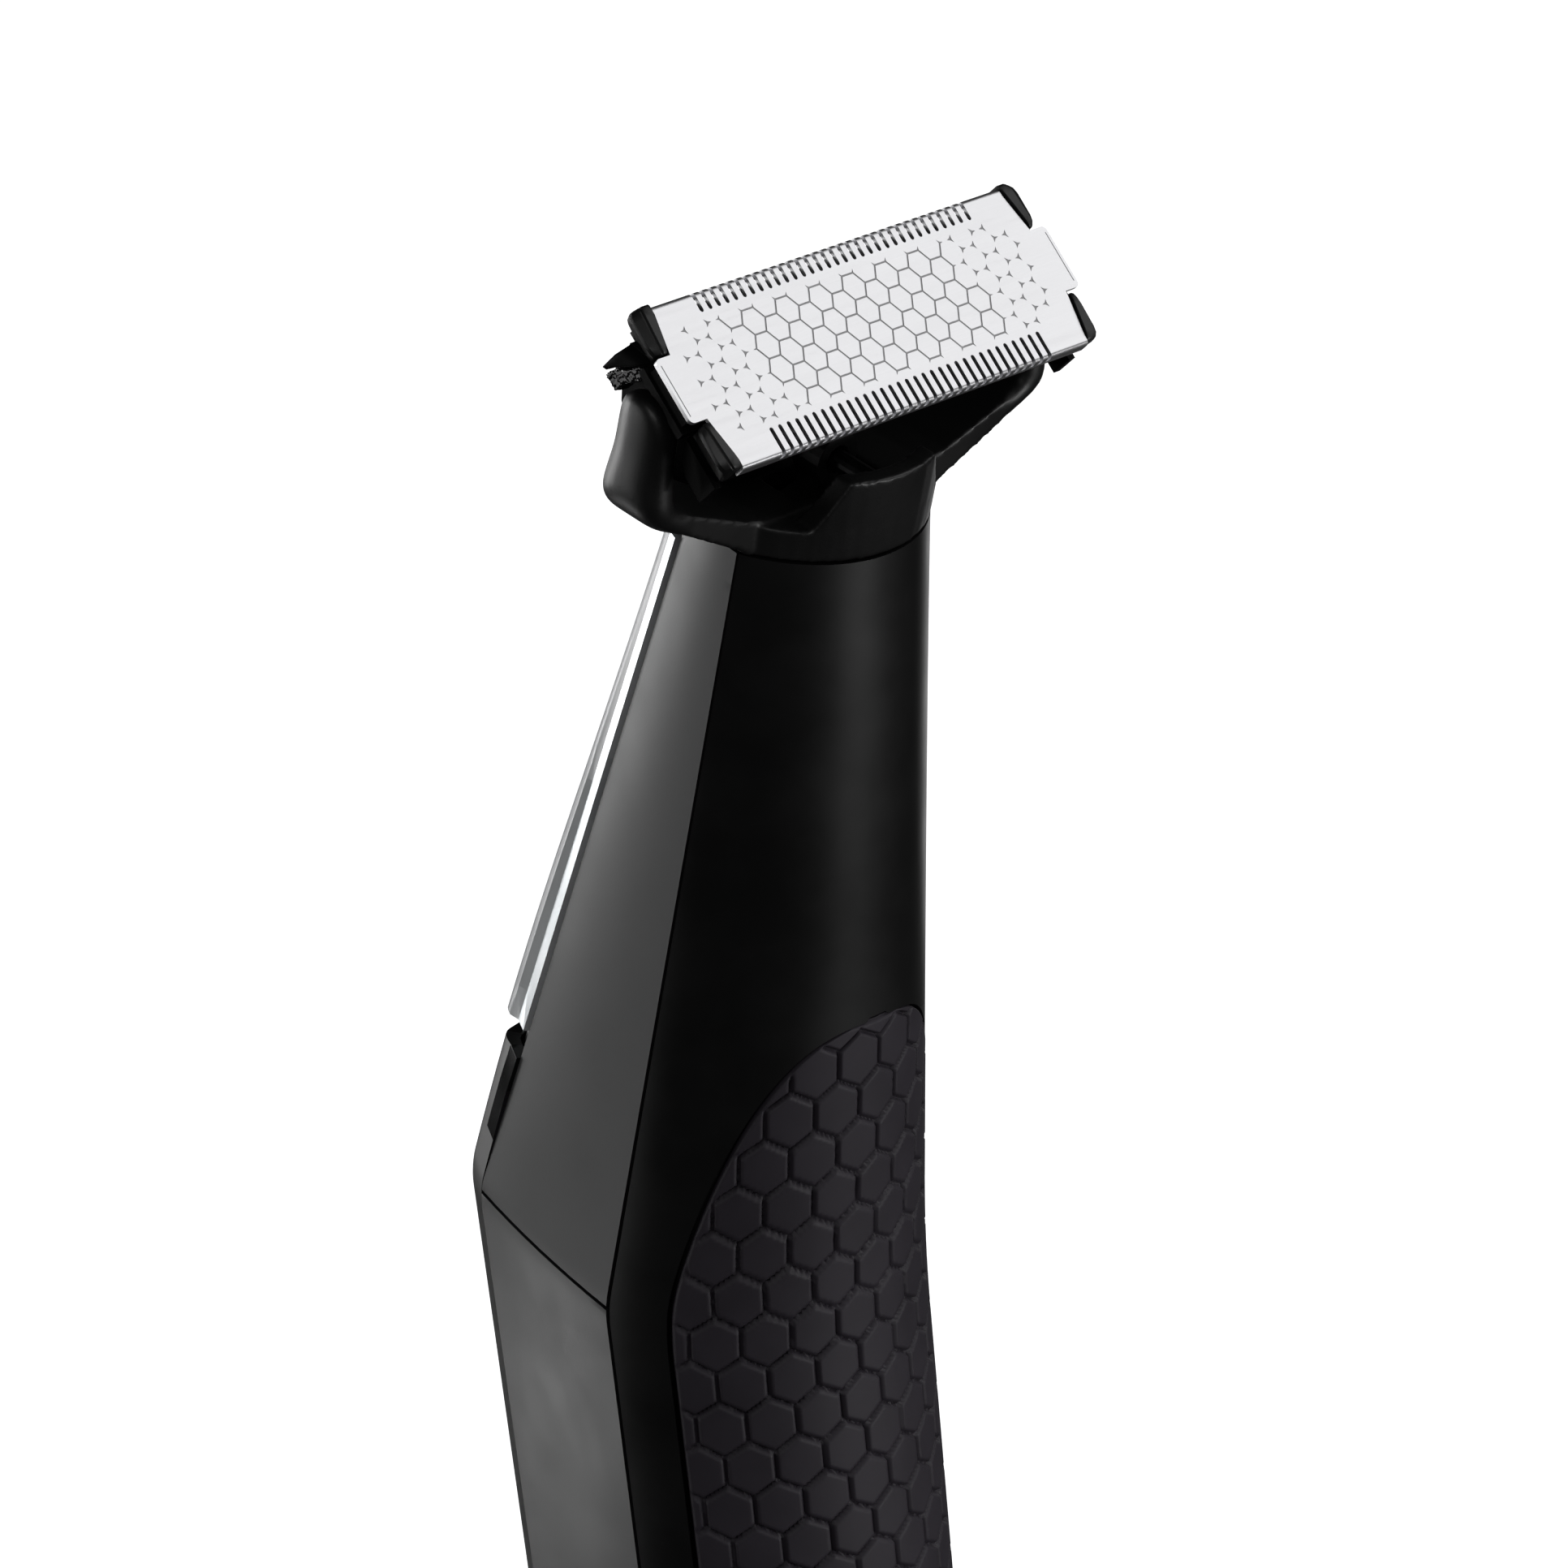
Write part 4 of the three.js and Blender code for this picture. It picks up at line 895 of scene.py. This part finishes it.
def slot_tool():
    """All the slots as one set of separate boxes with round inner ends."""
    points, faces = [], []
    for side, inner in ((-1, SLOT_FRONT_INNER), (1, SLOT_BACK_INNER)):
        for k in range(SLOTS_PER_SIDE):
            middle = (k - (SLOTS_PER_SIDE - 1) / 2) * SLOT_PITCH
            ring = [(middle - SLOT_HALF_WIDTH, side * (FOIL_HALF_WIDTH + 1))]
            for step in range(7):
                angle = math.pi * step / 6
                ring.append((middle - SLOT_HALF_WIDTH * math.cos(angle),
                             inner + side * SLOT_HALF_WIDTH * (1 - math.sin(angle))))
            ring.append((middle + SLOT_HALF_WIDTH, side * (FOIL_HALF_WIDTH + 1)))
            faces.append(tuple(range(len(points), len(points) + len(ring))))
            points += ring
    return prism("slots", points, faces, FOIL_TOP - FLANGE_DROP + SLOT_FOOT, FOIL_TOP + 1)


def hexagon_corners():
    """The honeycomb's corners, each with the direction of one of its three grooves, and a cell's side."""
    side = HEX_PITCH / math.sqrt(3)
    corners = {}
    for i in range(-14, 15):
        for j in range(-14, 15):
            centre_x = HEX_CENTRE[0] - (i + j) * HEX_PITCH * math.cos(math.pi / 6)
            centre_y = HEX_CENTRE[1] + (i - j) * HEX_PITCH / 2
            if abs(centre_x) > 19 or abs(centre_y) > 7:
                continue
            for k in range(6):
                angle = k * math.pi / 3
                x = centre_x + side * math.cos(angle)
                y = centre_y + side * math.sin(angle)
                key = (round((x - HEX_CENTRE[0]) / side * 2), round((y - HEX_CENTRE[1]) / HEX_PITCH * 2))
                outward = math.degrees(angle) % 120
                corners.setdefault(key, (x, y, outward))
    return corners, side


def etch_tool():
    """The etched lines as one flat network: whole grooves in the middle, three-pointed stars round it."""
    corners, side = hexagon_corners()
    points, faces = [], []
    index = {}

    def place(x, y):
        key = (round(x + NUDGE, 3), round(y + NUDGE, 3))
        if key not in index:
            index[key] = len(points)
            points.append((x, y))
        return index[key]

    def whole(x, y):
        return abs(x + 0.35 * y) < 11.2 and abs(y + 0.1) < 4.4

    def inside(x, y):
        reach = 16.9 if TAB_FROM < y < TAB_TO else 15.9
        return abs(x) < reach and SLOT_FRONT_INNER + 0.75 < y < SLOT_BACK_INNER - 0.15

    for x, y, turn in corners.values():
        if not inside(x, y):
            continue
        directions = [math.radians(turn + 120 * k) for k in range(3)]
        neighbours = [(x + side * math.cos(d), y + side * math.sin(d)) for d in directions]
        joined = [whole(x, y) and whole(*far) and inside(*far) for far in neighbours]
        half = ETCH_HALF_WIDTH if any(joined) else STAR_HALF_WIDTH
        inner = 2 * half / math.sqrt(3)
        hub = [place(x + inner * math.cos(d + math.pi / 3), y + inner * math.sin(d + math.pi / 3))
               for d in directions]
        faces.append(tuple(hub))
        for k, d in enumerate(directions):
            left, right = hub[k], hub[k - 1]
            if joined[k]:
                mid_x = x + side / 2 * math.cos(d)
                mid_y = y + side / 2 * math.sin(d)
                end_left = place(mid_x - half * math.sin(d), mid_y + half * math.cos(d))
                end_right = place(mid_x + half * math.sin(d), mid_y - half * math.cos(d))
                faces.append((right, end_right, end_left, left))
            else:
                reach = (0.3 if any(joined) else 0.33) * side
                tip = place(x + reach * math.cos(d), y + reach * math.sin(d))
                faces.append((right, tip, left))
    for side_x in (-1, 1):
        inner, outer = sorted(side_x * (TAB_HALF_LENGTH - from_end) for from_end in RIM_LINE)
        low, high = TAB_FROM + 0.5, TAB_TO - 0.5
        faces.append((place(inner, low), place(outer, low), place(outer, high), place(inner, high)))
    return prism("etch", points, faces, FOIL_TOP - ETCH_DEPTH, FOIL_TOP + 0.2)


def prism(name, points, faces, low, high):
    """Flat faces that share corners, drawn up into one closed solid."""
    count = len(points)
    solid_points = [(x, y, low) for x, y in points] + [(x, y, high) for x, y in points]
    solid_faces = []
    edges = set()
    turned = []
    for face in faces:
        area = 0
        for here, after in zip(face, face[1:] + face[:1]):
            area += points[here][0] * points[after][1] - points[after][0] * points[here][1]
        turned.append(face if area > 0 else tuple(reversed(face)))
    for face in turned:
        edges.update(zip(face, face[1:] + face[:1]))
        solid_faces.append(tuple(reversed(face)))
        solid_faces.append(tuple(corner + count for corner in face))
    for here, after in sorted(edges):
        if (after, here) not in edges:
            solid_faces.append((here, after, after + count, here + count))
    return build(name, solid_points, solid_faces, "foil_etch", cartridge_frame)


def tab_outline():
    """The outline of both tabs: round outer corners, and slants to the foil's own edges."""
    outline = []
    for side, end in ((1, -1), (1, 1), (-1, 1), (-1, -1)):
        y = TAB_FROM if end < 0 else TAB_TO
        quarter = [(side * (FOIL_HALF_LENGTH - 0.05), end * TAB_SLANT_Y), (side * TAB_ROOT, y)]
        for k in range(5):
            angle = math.pi / 8 * k
            quarter.append((side * (TAB_HALF_LENGTH - TAB_ROUND + TAB_ROUND * math.sin(angle)),
                            y - end * (TAB_ROUND - TAB_ROUND * math.cos(angle))))
        outline += quarter if side * end < 0 else reversed(quarter)
    return outline


def foil():
    """The foil with a tab at each end, bent edges, slots and an etched honeycomb."""
    ends = np.linspace(-FOIL_HALF_LENGTH, FOIL_HALF_LENGTH, 3)
    rings = [np.array([(x, y, z) for y, z in foil_section()]) for x in ends]
    piece = loft("slotted_foil", rings, "foil_steel", cartridge_frame)
    skins = [np.array([(x, y, z) for x, y in tab_outline()]) for z in (FOIL_TOP - FOIL_THICKNESS, FOIL_TOP)]
    carve(piece, loft("tab", skins, "foil_steel", cartridge_frame), "UNION")
    carve(piece, slot_tool())
    carve(piece, etch_tool())
    paint(piece, "foil_steel", "foil_etch")
    upwards = Vector(cartridge_frame.axes[2])
    for face in piece.data.polygons:
        height = cartridge_frame.into(np.array(face.center) / MM)[2]
        on_etch = abs(height - (FOIL_TOP - ETCH_DEPTH)) < 0.004
        face.material_index = 1 if on_etch and face.normal.dot(upwards) > 0.9 else 0
    soften(piece, math.radians(25))
    attach(piece, "cartridge", "foil_steel", "foil_plate")


# ---- head

COMB_HEIGHTS = (3.75, 4.45)
COMB_REACH = 5.75
COMB_BACK_INNER = 3.9
COMB_FRONT_INNER = 4.4
COMB_TOOTH_HALF_WIDTHS = (0.3, 0.24)


def cutter_comb():
    """The cutter's plate with a fine tooth under every bar between the foil's slots."""
    half_teeth = SLOTS_PER_SIDE // 2 + 1
    root, tip = COMB_TOOTH_HALF_WIDTHS
    outline = []
    for side, inner in ((1, COMB_BACK_INNER), (-1, COMB_FRONT_INNER)):
        for k in range(-half_teeth, half_teeth + 1):
            middle = -side * k * SLOT_PITCH
            for shift, reach in ((-root, inner), (-tip, COMB_REACH), (tip, COMB_REACH), (root, inner)):
                outline.append((middle - side * shift, side * reach))
    rings = [np.array([(x, y, z) for x, y in outline]) for z in COMB_HEIGHTS]
    piece = loft("cutter_comb", rings, "dark_steel", cartridge_frame)
    soften(piece)
    attach(piece, "cutter", "steel", "cutter_blade")


YOKE_VOXEL = 0.17
YOKE_SWELL = 0.4
COLLAR_DROP = 0.13
ARMS_FROM = 15.5  # past this distance from the middle plane the yoke counts as an arm
FOOT_TOP = 9.5


def head_yoke():
    """The forked head: the CAD shape with every edge rounded by a fine remesh and smoothing."""
    piece = cad_copy("yoke_shell", "head_yoke", "yoke_black", 0)
    remake(piece, YOKE_VOXEL)
    arms = piece.vertex_groups.new(name="arms")
    foot = piece.vertex_groups.new(name="foot")
    for vertex in piece.data.vertices:
        x, y, z = neck_frame.into(np.array(vertex.co) / MM)
        outwards = min(max((abs(x) - ARMS_FROM) / 2.5, 0), 1)
        arms.add([vertex.index], outwards, "REPLACE")
        foot.add([vertex.index], outwards * min(max((FOOT_TOP - z) / 3, 0), 1), "REPLACE")
        if z < 0.8:
            vertex.co -= Vector(neck_z) * COLLAR_DROP * MM
    swell = piece.modifiers.new("swell", "DISPLACE")
    swell.mid_level = 0
    swell.strength = YOKE_SWELL * MM
    swell.vertex_group = "foot"
    for iterations, group in ((5, ""), (130, "arms")):
        smooth = piece.modifiers.new("smooth", "SMOOTH")
        smooth.factor = 0.5
        smooth.iterations = iterations
        smooth.vertex_group = group
    settle(piece)
    paint(piece, "yoke_black")
    soften(piece, math.radians(80))
    attach(piece, "head", "black_case", "head_yoke")


CLIP_LENGTH = 3.65
CLIP_FROM = {-1: 2.95, 1: 2.5}  # front, back
CLIP_OUTER = {-1: 19.05, 1: 18.85}
CLIP_FOOT = 3.0


def corner_clip(name, node, side_x, side_y):
    """A slim clip on a corner of the foil: a flat top, a groove and a slanted outer face."""
    outer = CLIP_OUTER[side_y]
    rings = []
    for along, pull in ((0, 0.55), (0.15, 0.28), (0.5, 0.08), (0.95, 0), (2.75, 0), (3.2, 0.08), (3.5, 0.28),
                        (CLIP_LENGTH, 0.6)):
        share = along / CLIP_LENGTH
        inner = 18.1 - 0.75 * share
        top = FOIL_TOP + 0.2 - 0.4 * pull
        groove = -0.3 * share - 0.3 * pull
        profile = [(inner, CLIP_FOOT), (inner, top), (18.5 + groove, top), (18.55 + groove, top - 0.16),
                   (18.65 - 0.25 * share - 0.4 * pull, top - 0.14), (outer - pull, top - 0.45),
                   (outer + 0.05 - pull, top - 0.75), (outer - 0.5 - 0.6 * pull, 3.5),
                   (18.05 - 0.3 * pull, CLIP_FOOT)]
        w = CLIP_FROM[side_y] + along
        rings.append(np.array([(side_x * x, side_y * w, z) for x, z in profile]))
    piece = round_edges(loft(name, rings, "yoke_black", cartridge_frame), 0.07, 2, math.radians(25))
    attach(piece, "cartridge", "black_case", node)


def mirrored(ring, side_x):
    """A ring at the left end, or its mirror image at the right end."""
    return np.array([(side_x * x, y, z) for x, y, z in ring])


FIN_THICKNESS = 0.75
BLOCK_REACH = (17.6, 18.95)
BLOCK_VOXEL = 0.09
LUMP_HEIGHT = 0.07
FRAME_REACH = 18.1  # the frame's ends are cut off here, below the clips
FRAME_CUT_TOP = 2.95


def frame_fin(side_x):
    """The flared fin below a front clip, drawn out to a blunt tip."""
    outside = [(18.9, -4.9, 3.2), (19.5, -4.95, 1.9), (20.05, -4.74, 0.8), (20.0, -4.4, 0.95),
               (19.1, -4.15, 1.45), (18.5, -3.5, 2.05), (18.1, -2.76, 2.45), (18.1, -3.0, 3.4)]
    inside = [(x - FIN_THICKNESS, w + 0.1, z + 0.35) for x, w, z in outside]
    shape = [mirrored(ring, side_x) for ring in (inside, outside)]
    # the fin takes the frame's finish, darker than its own black plastic: painted shade
    return round_edges(loft("fin", shape, "frame_painted_shade", cartridge_frame), 0.1, 2)


def frame_block(side_x):
    """The rough block below the fin, beside the arm's round top."""
    outline = [(-4.53, -0.42), (-4.3, 0.85), (-3.7, 1.6), (-3.3, 2.9), (-2.4, 2.9), (-2.62, 1.8), (-3.1, 0.7),
               (-3.15, -0.5)]
    shape = [mirrored([(x, w, z) for w, z in outline], side_x) for x in BLOCK_REACH]
    block = loft("block", shape, "gloss_black", cartridge_frame)
    remake(block, BLOCK_VOXEL)
    for vertex in block.data.vertices:
        x, w, z = cartridge_frame.into(np.array(vertex.co) / MM)
        lump = math.sin(11 * w + 5 * math.sin(4 * z)) * math.sin(13 * z + 4 * math.sin(5 * w + x))
        vertex.co += vertex.normal * LUMP_HEIGHT * lump * MM
    return block


def foil_frame():
    """The frame under the foil: the CAD shape with slimmer ends, and a fin and a block at each end."""
    # the frame takes a finish darker than its own black plastic: painted shade
    piece = cad_copy("foil_frame", "upper_frame", "frame_painted_shade", 0)
    for side_x in (-1, 1):
        corners = ((FRAME_REACH, -8), (22, -8), (22, 8), (FRAME_REACH, 8))
        trim = [mirrored([(x, w, z) for x, w in corners], side_x) for z in (-6, FRAME_CUT_TOP)]
        carve(piece, loft("trim", trim, "frame_painted_shade", cartridge_frame))
    round_edges(piece, 0.1, 2)
    for side_x in (-1, 1):
        carve(piece, frame_fin(side_x), "UNION")
        carve(piece, frame_block(side_x), "UNION")
    soften(piece, math.radians(40))
    attach(piece, "cartridge", "black_case", "upper_frame")


rear_casing()
front_casings()
fascia()
lower_panel()
rubber_grip()
power_button()
foil()
head_yoke()
foil_frame()
cutter_comb()
for side_y, row in ((-1, "front"), (1, "back")):
    for side_x, end in ((1, "left"), (-1, "right")):
        corner_clip(f"clip_{row}_{end}", f"corner_clip_{row}_{end}", side_x, side_y)

copies = {
    # node: (name, body, slot, finish, radius of the edges)
    # the trough takes the frame's finish, darker than its own black plastic: painted shade
    "cartridge_base": ("cartridge_trough", "cartridge", "black_case", "frame_painted_shade", 0.15),
    "cutter_carrier": ("cutter_body", "cutter", "white_plastic", "lead_black", 0.12),
    "base_cap": ("base_plate", "handle", "black_case", "black_case", 0.2),
    "neck_spigot": ("spigot", "handle", "black_case", "black_case", 0.2),
}
for node, (name, body, slot, finish, radius) in copies.items():
    attach(cad_copy(name, node, finish, radius), body, slot, node)

plain_finishes = {"lever_pin": "dark_steel", "drive_lever": "lead_black"}
slots = {row["node"]: row["material_slot"] for row in frame["record"]["subparts"]}
for node, piece in frame["nodes"].items():
    if not piece.hide_render:
        paint(piece, plain_finishes.get(node, slots[node]))

# ---- floor, light and camera


def floor():
    """A white floor that shows as plain white and throws no light back on the shaver."""
    half = 3.0
    mesh = bpy.data.meshes.new("floor")
    corners = [(-half, -half, 0), (half, -half, 0), (half, half, 0), (-half, half, 0)]
    mesh.from_pydata(corners, [], [(0, 1, 2, 3)])
    piece = in_scene("floor", mesh)
    surface("floor_white", grey(0.9), grey(0.93), 0.9, mottle=3, grain=30, depth=0.01)
    shader = finishes["floor_white"].node_tree.nodes["Principled BSDF"]
    shader.inputs["Emission Color"].default_value = (1, 1, 1, 1)
    shader.inputs["Emission Strength"].default_value = 1.0
    paint(piece, "floor_white")
    piece.visible_glossy = False
    piece.visible_diffuse = False


MIDDLE = (0, 0, 0.09)


def area_light(name, place, width, height, power, target=MIDDLE):
    """A rectangular lamp that the camera doesn't see, in metres and watts."""
    light = bpy.data.lights.new(name, "AREA")
    light.shape = "RECTANGLE"
    light.size = width
    light.size_y = height
    light.energy = power
    lamp = in_scene(name, light)
    lamp.location = place
    lamp.visible_camera = False
    lamp.rotation_euler = (Vector(target) - Vector(place)).to_track_quat("-Z", "Y").to_euler()


def camera():
    """Looks at the neck from behind and to one side, with a long lens and a slight roll."""
    place = Vector((0.36416, 0.38562, 0.28333))
    forward = Vector((-0.6678, -0.6845, -0.2926)).normalized()
    up = Vector((-0.2798, -0.1333, 0.9508))
    right = forward.cross(up).normalized()
    up = right.cross(forward)
    lens = bpy.data.cameras.new("camera")
    lens.lens = 177.07
    lens.sensor_width = 36
    lens.clip_start = 0.01
    lens.clip_end = 20
    eye = in_scene("camera", lens)
    turn = Matrix((right, up, -forward)).transposed().to_4x4()
    turn.translation = place
    eye.matrix_world = turn
    bpy.context.scene.camera = eye


def studio():
    """Soft lamps at both sides of the dark casing, and one that the foil mirrors."""
    world = bpy.data.worlds.new("studio")
    bpy.context.scene.world = world
    world.use_nodes = True
    background = world.node_tree.nodes["Background"]
    background.inputs["Color"].default_value = (1, 1, 1, 1)
    background.inputs["Strength"].default_value = 0.02
    area_light("left_key", (0.8, -0.65, 0.15), 0.5, 0.6, 1.6)
    area_light("front_low", (0.15, -0.75, 0.13), 0.3, 0.25, 1.5)
    area_light("front_high", (0.0, -1.0, 0.4), 0.4, 0.5, 0.8)
    area_light("low_strip", (0.08, -0.16, 0.012), 0.08, 0.02, 0.034, (0, 0, 0.03))
    area_light("right_side", (-0.4, 0.75, 0.1), 0.4, 0.2, 0.5)
    area_light("right_low", (-0.15, 0.45, 0.02), 0.2, 0.04, 0.55)
    area_light("right_rim", (-0.26, -0.12, 0.04), 0.1, 0.06, 0.02, (0, 0, 0.11))
    area_light("back_edge", (-0.35, -0.9, 0.1), 0.3, 0.2, 0.3)
    area_light("foil_glow", (-0.67, 0.51, 0.64), 0.7, 0.7, 1.95)
    area_light("camera_side", (0.7, 0.6, 0.6), 0.6, 0.6, 1.7)
    bpy.context.scene.view_settings.view_transform = "Standard"


floor()
camera()
studio()
